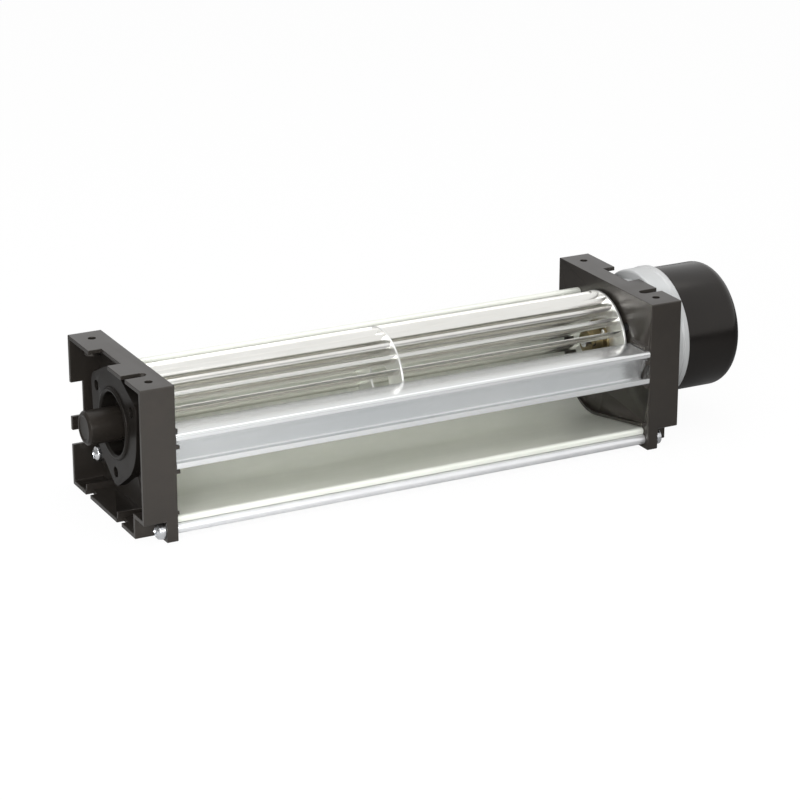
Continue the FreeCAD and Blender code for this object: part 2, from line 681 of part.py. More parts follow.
def rotor_disc(x_start, thickness, bore, rivets):
    """Stamped disc with a slot for each blade, a bore and its rivet holes."""
    disc = tube(x_start, x_start + thickness, ROTOR_RADIUS, bore)
    cuts = blade_ring(x_start - OUTSIDE, x_start + thickness + OUTSIDE, SLOT_CLEARANCE)
    if rivets:
        for centre in rivet_centres():
            hole = RIVET_RADIUS + RIVET_CLEARANCE
            cuts.append(rod(x_start - OUTSIDE, x_start + thickness + OUTSIDE, hole, centre))
    return disc.cut(cuts)


def rivet_centres():
    """Places of the rivets that hold a hub to its disc."""
    return [around_axis(45 + index * 360.0 / RIVET_COUNT, RIVET_CIRCLE) for index in range(RIVET_COUNT)]


def rotor_hub(disc_outer, inward):
    """Brass hub on the inner face of an end disc; inward is +1 or -1 along X."""
    inner_face = disc_outer + inward * DISC_THICKNESS
    flange_end = inner_face + inward * HUB_FLANGE_THICKNESS
    barrel_end = inner_face + inward * HUB_LENGTH
    spigot = rod(*sorted((disc_outer, inner_face)), HUB_SPIGOT_RADIUS)
    flange = rod(*sorted((inner_face, flange_end)), HUB_FLANGE_RADIUS)
    barrel = rod(*sorted((inner_face, barrel_end)), HUB_RADIUS)
    bore = SHAFT_RADIUS + SHAFT_PRESS_CLEARANCE
    low, high = sorted((disc_outer, barrel_end))
    cuts = [rod(low - OUTSIDE, high + OUTSIDE, bore)]
    for centre in rivet_centres():
        low, high = sorted((inner_face, flange_end))
        cuts.append(rod(low - OUTSIDE, high + OUTSIDE, RIVET_RADIUS + RIVET_CLEARANCE, centre))
    return spigot.fuse([flange, barrel]).cut(cuts)


def set_screw_place():
    """Middle of the set screw along X, in the motor end hub's barrel."""
    return DISC_END - DISC_THICKNESS - (HUB_LENGTH + HUB_FLANGE_THICKNESS) / 2


def set_screw_body(radius, start, length):
    """Radial cylinder in the motor end hub."""
    direction = FreeCAD.Vector(0, *unit(SET_SCREW_ANGLE))
    foot = at(set_screw_place(), around_axis(SET_SCREW_ANGLE, start))
    return Part.makeCylinder(radius, length, foot, direction)


def motor_end_hub():
    """Motor end hub, drilled across for its set screw."""
    hub = rotor_hub(DISC_END, -1)
    return hub.cut(set_screw_body(SET_SCREW_RADIUS + SET_SCREW_CLEARANCE, 0.0, HUB_RADIUS + OUTSIDE))


def hub_set_screw():
    """Headless screw that locks the motor end hub on its shaft."""
    start = SHAFT_RADIUS + SET_SCREW_CLEARANCE
    screw = set_screw_body(SET_SCREW_RADIUS, start, SET_SCREW_LENGTH)
    socket = set_screw_body(SET_SCREW_RADIUS / 2, start + SET_SCREW_LENGTH / 2, SET_SCREW_LENGTH)
    return screw.cut(socket)


def hub_rivets():
    """Rivets through the hub flanges and end discs."""
    rivets = []
    grip = DISC_THICKNESS + HUB_FLANGE_THICKNESS
    for start in (DISC_START, DISC_END - grip):
        for centre in rivet_centres():
            shank = rod(start, start + grip, RIVET_RADIUS, centre)
            near = rod(start - RIVET_HEAD_HEIGHT, start, RIVET_HEAD_RADIUS, centre)
            far = rod(start + grip, start + grip + RIVET_HEAD_HEIGHT, RIVET_HEAD_RADIUS, centre)
            rivets.append(shank.fuse([near, far]))
    return Part.makeCompound(rivets)


def chamfered_rod(x_start, x_end, radius, chamfer):
    """Shaft with both ends chamfered."""
    profile = [
        (x_start, 0.0), (x_start, radius - chamfer), (x_start + chamfer, radius),
        (x_end - chamfer, radius), (x_end, radius - chamfer), (x_end, 0.0),
    ]
    return turned(profile)


def stub_shaft():
    """Short shaft pressed into the bearing end hub and carried by the sleeve bearing."""
    x_end = DISC_START + DISC_THICKNESS + STUB_IN_HUB
    return chamfered_rod(BEARING_FACE + STUB_END, x_end, SHAFT_RADIUS, SHAFT_CHAMFER)


def hub_tube_radii():
    """Inner and outer radius of the bearing plate's hub tube."""
    inner = BEARING_RADIUS + ISOLATOR_WALL + 2 * ISOLATOR_CLEARANCE
    return inner, inner + HUB_TUBE_WALL


def ear_outline(angle, x_start, x_end):
    """Ear of the bearing plate: a lobe joined to the round plate by tangent sides."""
    lobe = around_axis(angle, POST_CIRCLE)
    spread = math.degrees(math.acos((PLATE_RADIUS - PLATE_EAR_RADIUS) / POST_CIRCLE))
    hub = (0.0, AXIS_HEIGHT)
    corners = [step(hub, angle - spread, PLATE_RADIUS), step(lobe, angle - spread, PLATE_EAR_RADIUS)]
    corners += [step(lobe, angle + spread, PLATE_EAR_RADIUS), step(hub, angle + spread, PLATE_RADIUS)]
    web = Part.Face(Part.makePolygon([at(x_start, point) for point in corners + corners[:1]]))
    web = web.extrude(FreeCAD.Vector(x_end - x_start, 0, 0))
    return web.fuse(rod(x_start, x_end, PLATE_EAR_RADIUS, lobe))


def bearing_plate():
    """Moulded plate with three ears, a raised ring, a sunk pan and the bearing's hub tube."""
    tube_inner, tube_outer = hub_tube_radii()
    pan_outer = HUB_OPENING_RADIUS - PAN_CLEARANCE
    ring_top = PLATE_FACE - PLATE_RING_HEIGHT
    ring_middle = (PLATE_RING_INNER + PLATE_RING_OUTER) / 2
    pan_floor = PAN_FACE - PLATE_PAN_WALL
    shaft_hole = SHAFT_RADIUS + SHAFT_HOLE_CLEARANCE
    profile = [
        (HUB_TUBE_END, tube_inner), (HUB_TUBE_END, tube_outer), (pan_floor, tube_outer),
        (pan_floor, PLATE_RING_INNER), (PLATE_FACE, PLATE_RING_INNER),
        ("arc", (ring_top, ring_middle), (PLATE_FACE, PLATE_RING_OUTER)),
        (PLATE_FACE, PLATE_RADIUS), (SEAT_DEPTH, PLATE_RADIUS), (SEAT_DEPTH, pan_outer),
        (PAN_FACE, pan_outer), (PAN_FACE, shaft_hole),
        (pan_floor, shaft_hole), (pan_floor, tube_inner),
    ]
    body = turned(profile)
    cuts = []
    for angle in POST_ANGLES:
        ear = ear_outline(angle, PLATE_FACE, SEAT_DEPTH)
        body = body.fuse(ear.cut(rod(PLATE_FACE, SEAT_DEPTH, PLATE_RING_OUTER)))
        centre = around_axis(angle, POST_CIRCLE)
        cuts.append(rod(PLATE_FACE - OUTSIDE, PLATE_FACE + EAR_POCKET_DEPTH, EAR_POCKET_RADIUS, centre))
        hole = PLATE_SCREW_RADIUS + SCREW_HOLE_CLEARANCE
        cuts.append(rod(PLATE_FACE, SEAT_DEPTH + OUTSIDE, hole, centre))
    return bearing_side(body.cut(cuts).removeSplitter())


def bearing_plate_screws():
    """Three tapping screws sunk in the bearing plate's ears."""
    face = PLATE_FACE + EAR_POCKET_DEPTH
    screws = []
    for angle in POST_ANGLES:
        centre = around_axis(angle, POST_CIRCLE)
        head = rod(face - PLATE_HEAD_HEIGHT, face, PLATE_HEAD_RADIUS, centre)
        screw = head.fuse(rod(face, face + PLATE_SCREW_LENGTH, PLATE_SCREW_RADIUS, centre))
        screws.append(bearing_side(screw))
    return Part.makeCompound(screws)


def sleeve_bearing():
    """Sintered bronze bush that the stub shaft turns in."""
    bore = SHAFT_RADIUS + RUNNING_CLEARANCE
    bush = tube(BEARING_START, BEARING_START + BEARING_LENGTH, BEARING_RADIUS, bore)
    return bearing_side(bush)


def bearing_isolator():
    """Rubber ring between the bush and the bearing plate's hub tube."""
    inner = BEARING_RADIUS + ISOLATOR_CLEARANCE
    ring = tube(BEARING_START, BEARING_START + BEARING_LENGTH, inner + ISOLATOR_WALL, inner)
    return bearing_side(ring)


def bearing_cap():
    """Closed cap pushed over the hub tube, chamfered at its end."""
    _, tube_outer = hub_tube_radii()
    inner = tube_outer + CAP_CLEARANCE
    outer = inner + CAP_WALL
    mouth = PAN_FACE - PLATE_PAN_WALL - CAP_FOOT_GAP
    end = -CAP_OVERHANG
    profile = [
        (end, 0.0), (end, outer - CAP_CHAMFER), (end + CAP_CHAMFER, outer), (mouth, outer),
        (mouth, inner), (end + CAP_END_WALL, inner), (end + CAP_END_WALL, 0.0),
    ]
    return bearing_side(turned(profile))


def from_motor_face(profile):
    """Turned profile given in distances beyond the motor bracket's outer face."""
    moved = []
    for mark in profile:
        if mark[0] == "arc":
            moved.append(("arc", *[(MOTOR_FACE + x, radius) for x, radius in mark[1:]]))
        else:
            moved.append((MOTOR_FACE + mark[0], mark[1]))
    return turned(moved)


def motor_hub_radii():
    """Inner and outer radius of the seats of the motor's two bearings."""
    inner = MOTOR_BEARING_RADIUS + BEARING_SEAT_CLEARANCE
    return inner, inner + MOTOR_HUB_WALL


def motor_housing():
    """Drawn steel shell: bearing hub, mounting pan inside the bracket, shoulder and rim."""
    sheet = HOUSING_SHEET
    bend = HOUSING_BEND
    seat = -SEAT_DEPTH
    hub_inner, hub_outer = motor_hub_radii()
    hub_end = seat - MOTOR_BEARING_LENGTH + sheet
    inner_bend = bend - sheet
    corner = (HOUSING_GAP + bend, HOUSING_RADIUS - bend)
    rim_start = HOUSING_LENGTH - RIM_WIDTH
    rim_step = RIM_RADIUS - HOUSING_RADIUS
    profile = [
        (hub_end, hub_inner), (hub_end, hub_outer), (seat, hub_outer), (seat, PAN_RADIUS),
        (HOUSING_GAP, PAN_RADIUS), (HOUSING_GAP, HOUSING_RADIUS - bend),
        quarter_out(corner, bend), (rim_start, HOUSING_RADIUS),
        (rim_start + rim_step, RIM_RADIUS), (HOUSING_LENGTH - rim_step, RIM_RADIUS),
        (HOUSING_LENGTH, HOUSING_RADIUS), (HOUSING_LENGTH, HOUSING_RADIUS - sheet),
        (HOUSING_GAP + bend, HOUSING_RADIUS - sheet), quarter_in(corner, inner_bend),
        (HOUSING_GAP + sheet, PAN_RADIUS - sheet), (seat + sheet, PAN_RADIUS - sheet),
        (seat + sheet, hub_inner),
    ]
    body = from_motor_face(profile)
    hole = MOTOR_SCREW_RADIUS + SCREW_HOLE_CLEARANCE
    cuts = []
    for angle in POST_ANGLES:
        x_start = MOTOR_FACE + seat - OUTSIDE
        cuts.append(rod(x_start, x_start + 2 * OUTSIDE + sheet, hole, around_axis(angle, POST_CIRCLE)))
    return body.cut(cuts)


def quarter_out(centre, radius):
    """Arc mark from a face that looks towards -X to the side of a turned body."""
    mid = step(centre, 135, radius)
    return "arc", mid, step(centre, 90, radius)


def quarter_in(centre, radius):
    """Arc mark from the side of a turned body's hollow to its front wall."""
    mid = step(centre, 135, radius)
    return "arc", mid, step(centre, 180, radius)


def motor_cap():
    """Moulded cap with a rounded end, closed over the stator, with the rear bearing seat."""
    outer = MOTOR_CAP_RADIUS
    inner = outer - MOTOR_CAP_WALL
    end = MOTOR_OVERHANG
    start = HOUSING_LENGTH - MOTOR_CAP_OVERLAP
    round_centre = (end - MOTOR_CAP_ROUND, outer - MOTOR_CAP_ROUND)
    inner_round = MOTOR_CAP_ROUND - MOTOR_CAP_WALL
    floor = end - MOTOR_CAP_WALL
    seat_inner, seat_outer = motor_hub_radii()
    seat_start = rear_bearing_start()
    profile = [
        (start, outer), (end - MOTOR_CAP_ROUND, outer),
        ("arc", step(round_centre, 45, MOTOR_CAP_ROUND), step(round_centre, 0, MOTOR_CAP_ROUND)),
        (end, 0.0), (floor, 0.0), (floor, seat_inner), (seat_start, seat_inner), (seat_start, seat_outer),
        (floor, seat_outer), (floor, outer - MOTOR_CAP_ROUND),
        ("arc", step(round_centre, 45, inner_round), step(round_centre, 90, inner_round)),
        (start, inner),
    ]
    return from_motor_face(profile)


def rear_bearing_start():
    """Where the rear bearing begins, beyond the bracket's outer face."""
    return MOTOR_OVERHANG - MOTOR_CAP_WALL - MOTOR_BEARING_LENGTH - THRUST_PAD_THICKNESS


def motor_bearing(start):
    """Sintered bush of the motor, from a distance beyond the bracket's outer face."""
    bore = SHAFT_RADIUS + RUNNING_CLEARANCE
    x_start = MOTOR_FACE + start
    return tube(x_start, x_start + MOTOR_BEARING_LENGTH, MOTOR_BEARING_RADIUS, bore)


def front_motor_bearing():
    """Bush in the housing's hub."""
    return motor_bearing(HOUSING_SHEET - SEAT_DEPTH - MOTOR_BEARING_LENGTH)


def rear_motor_bearing():
    """Bush in the cap's seat."""
    return motor_bearing(rear_bearing_start())


def stator_core():
    """Laminated ring pressed in the cap, its bore slotted for the coils."""
    outer = MOTOR_CAP_RADIUS - MOTOR_CAP_WALL - CORE_CLEARANCE
    start = MOTOR_FACE + CORE_START
    return tube(start, start + CORE_LENGTH, outer, CORE_BORE)


def stator_windings():
    """End turns of the coils on both faces of the core."""
    rings = []
    for start in (CORE_START - WINDING_LENGTH, CORE_START + CORE_LENGTH):
        middle = (WINDING_INNER + WINDING_OUTER) / 2
        half = WINDING_LENGTH / 2
        outward = -half if start < CORE_START else half
        crown = start + half + outward
        flat = start + half - outward
        profile = [
            (flat, WINDING_INNER), (flat, WINDING_OUTER),
            (start + half, WINDING_OUTER), ("arc", (crown, middle), (start + half, WINDING_INNER)),
        ]
        rings.append(from_motor_face(profile))
    return Part.makeCompound(rings)


def motor_rotor():
    """Squirrel cage rotor on the motor shaft."""
    start = MOTOR_FACE + CORE_START
    return tube(start, start + CORE_LENGTH, CORE_BORE - AIR_GAP, SHAFT_RADIUS + SHAFT_PRESS_CLEARANCE)


def motor_shaft():
    """Shaft of the motor, long enough to carry the rotor's hub."""
    x_start = DISC_END - DISC_THICKNESS - STUB_IN_HUB
    x_end = MOTOR_FACE + MOTOR_OVERHANG - MOTOR_CAP_WALL - THRUST_PAD_THICKNESS - THRUST_PLAY
    return chamfered_rod(x_start, x_end, SHAFT_RADIUS, SHAFT_CHAMFER)


def shaft_spacers():
    """Sleeves on the motor shaft that keep the cage rotor between the bearings."""
    bore = SHAFT_RADIUS + SHAFT_PRESS_CLEARANCE
    front_start = HOUSING_SHEET - SEAT_DEPTH + THRUST_PLAY
    rear_start = CORE_START + CORE_LENGTH
    spans = ((front_start, CORE_START), (rear_start, rear_bearing_start() - THRUST_PLAY))
    sleeves = [tube(MOTOR_FACE + low, MOTOR_FACE + high, SPACER_RADIUS, bore) for low, high in spans]
    return Part.makeCompound(sleeves)


def thrust_pad():
    """Pad on the cap's floor behind the shaft's end."""
    end = MOTOR_FACE + MOTOR_OVERHANG - MOTOR_CAP_WALL
    return rod(end - THRUST_PAD_THICKNESS, end, MOTOR_BEARING_RADIUS)


def motor_screws():
    """Three screws from the bracket's inner face through the posts into the motor housing."""
    face = MOTOR_HEAD_FACE
    reach = face - SEAT_DEPTH + HOUSING_SHEET + MOTOR_SCREW_REACH
    screws = []
    for angle in POST_ANGLES:
        centre = around_axis(angle, POST_CIRCLE)
        head = rod(face, face + MOTOR_HEAD_HEIGHT, MOTOR_HEAD_RADIUS, centre)
        screws.append(motor_side(head.fuse(rod(face - reach, face, MOTOR_SCREW_RADIUS, centre))))
    return Part.makeCompound(screws)


def motor_nuts():
    """Hexagon nuts on the motor screws, inside the housing's pan."""
    nuts = []
    start = MOTOR_FACE - SEAT_DEPTH + HOUSING_SHEET
    corner_radius = NUT_ACROSS_FLATS / 2 / math.cos(math.radians(30))
    for angle in POST_ANGLES:
        centre = around_axis(angle, POST_CIRCLE)
        corners = [at(start, step(centre, angle + 30 + 60 * turn, corner_radius)) for turn in range(6)]
        face = Part.Face(Part.makePolygon(corners + corners[:1]))
        nut = face.extrude(FreeCAD.Vector(NUT_HEIGHT, 0, 0))
        hole = MOTOR_SCREW_RADIUS + PILOT_CLEARANCE
        nuts.append(nut.cut(rod(start - OUTSIDE, start + NUT_HEIGHT + OUTSIDE, hole, centre)))
    return Part.makeCompound(nuts)


def rotor_blades():
    """All the blades, a little proud of both end discs where they are staked."""
    return Part.makeCompound(blade_ring(DISC_START - BLADE_STAKE, DISC_END + BLADE_STAKE))


def middle_disc():
    """Ring half way along the rotor that steadies the blades."""
    start = (SPAN_START + SPAN_END - MIDDLE_DISC_THICKNESS) / 2
    return rotor_disc(start, MIDDLE_DISC_THICKNESS, MIDDLE_BORE, False)


def end_disc(start):
    """End disc of the rotor, bored for its hub's spigot."""
    return rotor_disc(start, DISC_THICKNESS, HUB_SPIGOT_RADIUS + HUB_SPIGOT_CLEARANCE, True)


PARTS = {
    "bearing_bracket": bearing_bracket,
    "motor_bracket": motor_bracket,
    "scroll_casing": scroll_casing,
    "stabiliser": stabiliser,
    "front_tie_rod": lambda: tie_rod(FRONT_ROD),
    "rear_tie_rod": lambda: tie_rod(rear_rod_centre()),
    "rod_screws": rod_screws,
    "rod_washers": rod_washers,
    "bearing_plate": bearing_plate,
    "bearing_plate_screws": bearing_plate_screws,
    "sleeve_bearing": sleeve_bearing,
    "bearing_isolator": bearing_isolator,
    "bearing_cap": bearing_cap,
    "motor_housing": motor_housing,
    "motor_cap": motor_cap,
    "motor_screws": motor_screws,
    "motor_nuts": motor_nuts,
    "front_motor_bearing": front_motor_bearing,
    "rear_motor_bearing": rear_motor_bearing,
    "stator_core": stator_core,
    "stator_windings": stator_windings,
    "rotor_blades": rotor_blades,
    "bearing_end_disc": lambda: end_disc(DISC_START),
    "middle_disc": middle_disc,
    "motor_end_disc": lambda: end_disc(DISC_END - DISC_THICKNESS),
    "bearing_end_hub": lambda: rotor_hub(DISC_START, 1),
    "motor_end_hub": motor_end_hub,
    "hub_rivets": hub_rivets,
    "hub_set_screw": hub_set_screw,
    "stub_shaft": stub_shaft,
    "motor_shaft": motor_shaft,
    "motor_rotor": motor_rotor,
    "shaft_spacers": shaft_spacers,
    "thrust_pad": thrust_pad,
}

os.makedirs("parts", exist_ok=True)
for name, make in PARTS.items():
    shape = make()
    if not shape.isValid():
        raise ValueError(name + " is not a valid shape")
    shape.exportStep("parts/" + name + ".step")
    print(name, len(shape.Solids), "solids", round(shape.Volume / 1000, 2), "cm3")
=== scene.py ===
import logging
import math
from dataclasses import dataclass, field, replace
from enum import Enum, IntEnum
from typing import Iterable, Sequence

import bmesh
import bpy
from bmesh.types import BMEdge, BMesh, BMVert
from bpy.types import Material, Node, NodeSocket, NodeTree, Object
from mathutils import Matrix, Vector


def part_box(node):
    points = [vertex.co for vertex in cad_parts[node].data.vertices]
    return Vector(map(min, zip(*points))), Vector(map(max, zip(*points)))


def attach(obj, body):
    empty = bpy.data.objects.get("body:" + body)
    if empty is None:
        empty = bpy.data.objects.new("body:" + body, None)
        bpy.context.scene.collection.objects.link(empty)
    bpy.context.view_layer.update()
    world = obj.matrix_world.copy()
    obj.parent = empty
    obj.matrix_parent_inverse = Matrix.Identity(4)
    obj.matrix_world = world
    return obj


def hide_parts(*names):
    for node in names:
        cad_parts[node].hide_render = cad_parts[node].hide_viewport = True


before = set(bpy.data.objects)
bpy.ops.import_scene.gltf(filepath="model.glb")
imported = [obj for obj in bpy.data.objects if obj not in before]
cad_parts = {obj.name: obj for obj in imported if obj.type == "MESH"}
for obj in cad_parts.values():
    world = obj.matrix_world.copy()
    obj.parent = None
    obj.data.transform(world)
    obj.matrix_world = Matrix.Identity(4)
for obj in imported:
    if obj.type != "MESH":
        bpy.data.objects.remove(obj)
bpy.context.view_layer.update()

LOG = logging.getLogger("cross_flow_fan")
MM = 0.001
FULL_TURN = 2 * math.pi
MERGE_DISTANCE = 2e-6
FLAT_ANGLE = 0.5
SHEET_SMOOTH_ANGLE = 40.0
WAVE_PERIOD = 0.314
ALONG = Vector((1.0, 0.0, 0.0))
WHITE = (1.0, 1.0, 1.0, 1.0)
Pair = tuple[float, float]
Place = tuple[float, float, float]
Colour = tuple[float, float, float]
FULL_RANGE: Pair = (0.0, 1.0)
NOISE_RANGE: Pair = (0.3, 0.7)


class Body(Enum):
    """Rigid bodies of the fan that a piece can ride on."""

    FRAME = "frame"
    ROTOR = "rotor"


class Plane(Enum):
    """Plane that a profile is drawn in, as its first and second axis."""

    SECTION = ((0.0, 1.0, 0.0), (0.0, 0.0, 1.0))
    LENGTHWISE = ((1.0, 0.0, 0.0), (0.0, 0.0, 1.0))


class Side(Enum):
    """End of the fan, as the direction in which its bracket's depth runs."""

    BEARING = 1.0
    MOTOR = -1.0


class Facets(IntEnum):
    """Number of facets round a turned solid."""

    RIVET = 24
    SCREW = 48
    BAR = 64
    HUB = 96
    DISC = 128
    MOTOR = 160


def shifted(point: Pair, length: float, heading: float) -> Pair:
    """Point at a distance from another, along a heading in degrees."""
    turn = math.radians(heading)
    return point[0] + length * math.cos(turn), point[1] + length * math.sin(turn)


@dataclass(frozen=True)
class Layout:
    """Sizes shared by all the sub-assemblies, in millimetres, and the places that follow."""

    outlet_span: float = 300.0
    bracket_width: float = 20.0
    bracket_depth: float = 106.0
    axis_height: float = 53.5
    cap_overhang: float = 12.5
    motor_overhang: float = 55.0
    rotor_radius: float = 30.0
    sheet_end_clearance: float = 0.2
    post_circle: float = 28.9
    post_angles: Place = (30.0, 150.0, 270.0)

    @property
    def bearing_face(self) -> float:
        """Outer face of the bearing end bracket along X."""
        overall = self.cap_overhang + 2 * self.bracket_width + self.outlet_span + self.motor_overhang
        return self.cap_overhang - overall / 2

    @property
    def motor_face(self) -> float:
        """Outer face of the motor end bracket along X."""
        return self.bearing_face + 2 * self.bracket_width + self.outlet_span

    @property
    def span_start(self) -> float:
        """Inner face of the bearing end bracket along X."""
        return self.bearing_face + self.bracket_width

    @property
    def span_end(self) -> float:
        """Inner face of the motor end bracket along X."""
        return self.span_start + self.outlet_span

    @property
    def front(self) -> float:
        """Front faces of the brackets along Y."""
        return -self.bracket_depth / 2

    @property
    def axis(self) -> Pair:
        """Shaft's centre line in the section plane."""
        return 0.0, self.axis_height

    def depth(self, side: Side, depth: float) -> float:
        """Place along X at a depth below the outer face of one end's bracket."""
        face = self.bearing_face if side is Side.BEARING else self.motor_face
        return face + side.value * depth

    def around_axis(self, angle: float, radius: float) -> Pair:
        """Point in the section plane at an angle, from +Y towards +Z, and a radius about the shaft."""
        return shifted(self.axis, radius, angle)


LAYOUT = Layout()


def linear(red: float, green: float, blue: float) -> Colour:
    """Scene colour of a screen colour.

    Args:
        red: Screen value from 0 to 255.
        green: Likewise.
        blue: Likewise.

    Returns:
        The three linear values.
    """
    def channel(value: float) -> float:
        """Linear value of one screen value."""
        share = value / 255
        return share / 12.92 if share <= 0.04045 else ((share + 0.055) / 1.055) ** 2.4
    return channel(red), channel(green), channel(blue)


class NodeBench:
    """Bench on which one material's nodes are laid out and joined."""

    def __init__(self, name: str, tree: NodeTree | None = None) -> None:
        """Starts an empty material, or empties a tree.

        Args:
            name: The material's name.
            tree: Tree to lay out instead of a new material's.
        """
        if tree is None:
            self.material = bpy.data.materials.new(name)
            self.material.use_nodes = True
            tree = self.material.node_tree
        self.tree = tree
        self.tree.nodes.clear()

    def add(self, kind: str, inputs: dict | None = None, **settings: object) -> Node:
        """Adds a node.

        Args:
            kind: The node's type name without its ShaderNode start.
            inputs: Value or joined socket of each input, by input name or number.
            settings: The node's own properties.

        Returns:
            The new node.
        """
        node = self.tree.nodes.new("ShaderNode" + kind)
        node.location.x = 200 * len(self.tree.nodes)
        for key, value in settings.items():
            setattr(node, key, value)
        for key, value in (inputs or {}).items():
            if isinstance(value, NodeSocket):
                self.tree.links.new(value, node.inputs[key])
            else:
                node.inputs[key].default_value = value
        return node

    def calculate(self, operation: str, *values: object) -> NodeSocket:
        """Result of a calculation with values or sockets."""
        return self.add("Math", dict(enumerate(values)), operation=operation).outputs[0]

    def length(self, where: NodeSocket) -> NodeSocket:
        """Distance of coordinates from their centre."""
        return self.add("VectorMath", {0: where}, operation="LENGTH").outputs["Value"]

    def spread(self, scale: Sequence[float], centre: Sequence[float] = (0, 0, 0)) -> NodeSocket:
        """Object coordinates about a centre, scaled along each axis.

        Args:
            scale: Repeats for each metre of each axis.
            centre: The centre in millimetres.

        Returns:
            The scaled coordinates.
        """
        where = self.add("TexCoord").outputs["Object"]
        place = {"Vector": where, "Location": [-MM * value for value in centre]}
        moved = self.add("Mapping", place).outputs[0]
        return self.add("Mapping", {"Vector": moved, "Scale": scale}).outputs[0]

    def noise(self, where: NodeSocket, detail: float, rough: float) -> NodeSocket:
        """Noise between 0 and 1 at scaled coordinates, with its octaves and the finer octaves' share."""
        inputs = {"Vector": where, "Scale": 1.0, "Detail": detail, "Roughness": rough}
        return self.add("TexNoise", inputs).outputs[0]

    def clouds(self, scale: float, detail: float, rough: float) -> NodeSocket:
        """Noise that has the same scale along every axis."""
        return self.noise(self.spread((scale,) * 3), detail, rough)

    def remap(self, value: NodeSocket, low: float, high: float, source: Pair = NOISE_RANGE) -> NodeSocket:
        """Value moved from its source's range to the range from low to high."""
        inputs = {"Value": value, "From Min": source[0], "From Max": source[1], "To Min": low, "To Max": high}
        return self.add("MapRange", inputs).outputs[0]

    def blend(self, share: NodeSocket, first: Colour, second: Colour) -> NodeSocket:
        """Colour between two colours, by the share of the second."""
        inputs = {0: share, 6: (*first, 1.0), 7: (*second, 1.0)}
        return self.add("Mix", inputs, data_type="RGBA").outputs[2]

    def bump(self, height: NodeSocket, depth: float, strength: float = 1.0) -> NodeSocket:
        """Surface normal disturbed by a height whose relief has a depth in millimetres."""
        return self.add("Bump", {"Height": height, "Distance": depth * MM, "Strength": strength}).outputs[0]

    def surface(self, **inputs: object) -> Material:
        """Closes the material with a principled surface.

        Args:
            inputs: The surface's inputs, with underscores for spaces.

        Returns:
            The finished material.
        """
        named = {key.replace("_", " "): value for key, value in inputs.items()}
        self.add("OutputMaterial", {"Surface": self.add("BsdfPrincipled", named).outputs[0]})
        return self.material


@dataclass(frozen=True)
class Finish:
    """Screen colours and gloss of one finish, made into a material once, and the slot it stands for."""

    name: str
    colour: Colour
    shade: Colour
    roughness: float
    slot: str = ""

    def material(self) -> Material:
        """The finish's material, made at its first use."""
        title = self.name + "_finish"
        return bpy.data.materials.get(title) or self.lay_out(NodeBench(title))

    def tinted(self, bench: NodeBench, pattern: NodeSocket, source: Pair = NOISE_RANGE) -> NodeSocket:
        """Colour that follows a pattern's range from the shade to the colour."""
        share = bench.remap(pattern, *FULL_RANGE, source)
        return bench.blend(share, linear(*self.shade), linear(*self.colour))

    def lay_out(self, bench: NodeBench) -> Material:
        """Lays out the finish's nodes on an empty bench and gives its material."""
        raise NotImplementedError


@dataclass(frozen=True)
class MouldedPlastic(Finish):
    """Moulded plastic: fine eroded grain, slow flow marks and soft gloss."""

    grain: float = 1900.0
    grain_depth: float = 0.02
    flow: float = 26.0
    specular: float = 0.5
    index: float = 1.46
    tint: Colour = (1.0, 0.95, 0.9)

    def lay_out(self, bench: NodeBench) -> Material:
        """Lays out grain for bump, and flow marks for colour and gloss.

        Args:
            bench: Empty bench.

        Returns:
            The finished material.
        """
        grain = bench.clouds(self.grain, 3.0, 0.6)
        flow = bench.noise(bench.spread((self.flow, self.flow * 1.6, self.flow * 2.4)), 1.5, 0.45)
        patch = bench.clouds(self.flow * 7, 2.0, 0.5)
        colour = self.tinted(bench, bench.calculate("MULTIPLY_ADD", flow, patch, 0.12))
        gloss = bench.remap(flow, self.roughness - 0.03, self.roughness + 0.04)
        relief = bench.bump(grain, self.grain_depth, 0.45)
        return bench.surface(Base_Color=colour, Roughness=gloss, Normal=relief, IOR=self.index,
                             Specular_IOR_Level=self.specular, Specular_Tint=(*self.tint, 1.0))


@dataclass(frozen=True)
class RolledSheet(Finish):
    """Rolled sheet metal: streaks along the rolling direction and faint stains."""

    streaks: Place = (9.0, 1500.0, 1500.0)
    relief: float = 0.004
    spangle: float = 90.0
    wear: float = 0.05
    metal: float = 1.0

    def lay_out(self, bench: NodeBench) -> Material:
        """Lays out streaks for bump and gloss, and cloudy spangle for colour.

        Args:
            bench: Empty bench.

        Returns:
            The finished material.
        """
        streak = bench.noise(bench.spread(self.streaks), 4.0, 0.6)
        cloud = bench.noise(bench.spread((self.spangle * 0.35, self.spangle, self.spangle)), 5.0, 0.6)
        low = bench.remap(streak, self.roughness - self.wear * 0.6, self.roughness + self.wear)
        gloss = bench.calculate("ADD", low, bench.remap(cloud, -self.wear * 0.6, self.wear))
        return bench.surface(Base_Color=self.tinted(bench, cloud), Metallic=self.metal, Roughness=gloss,
                             Normal=bench.bump(streak, self.relief, 0.6))


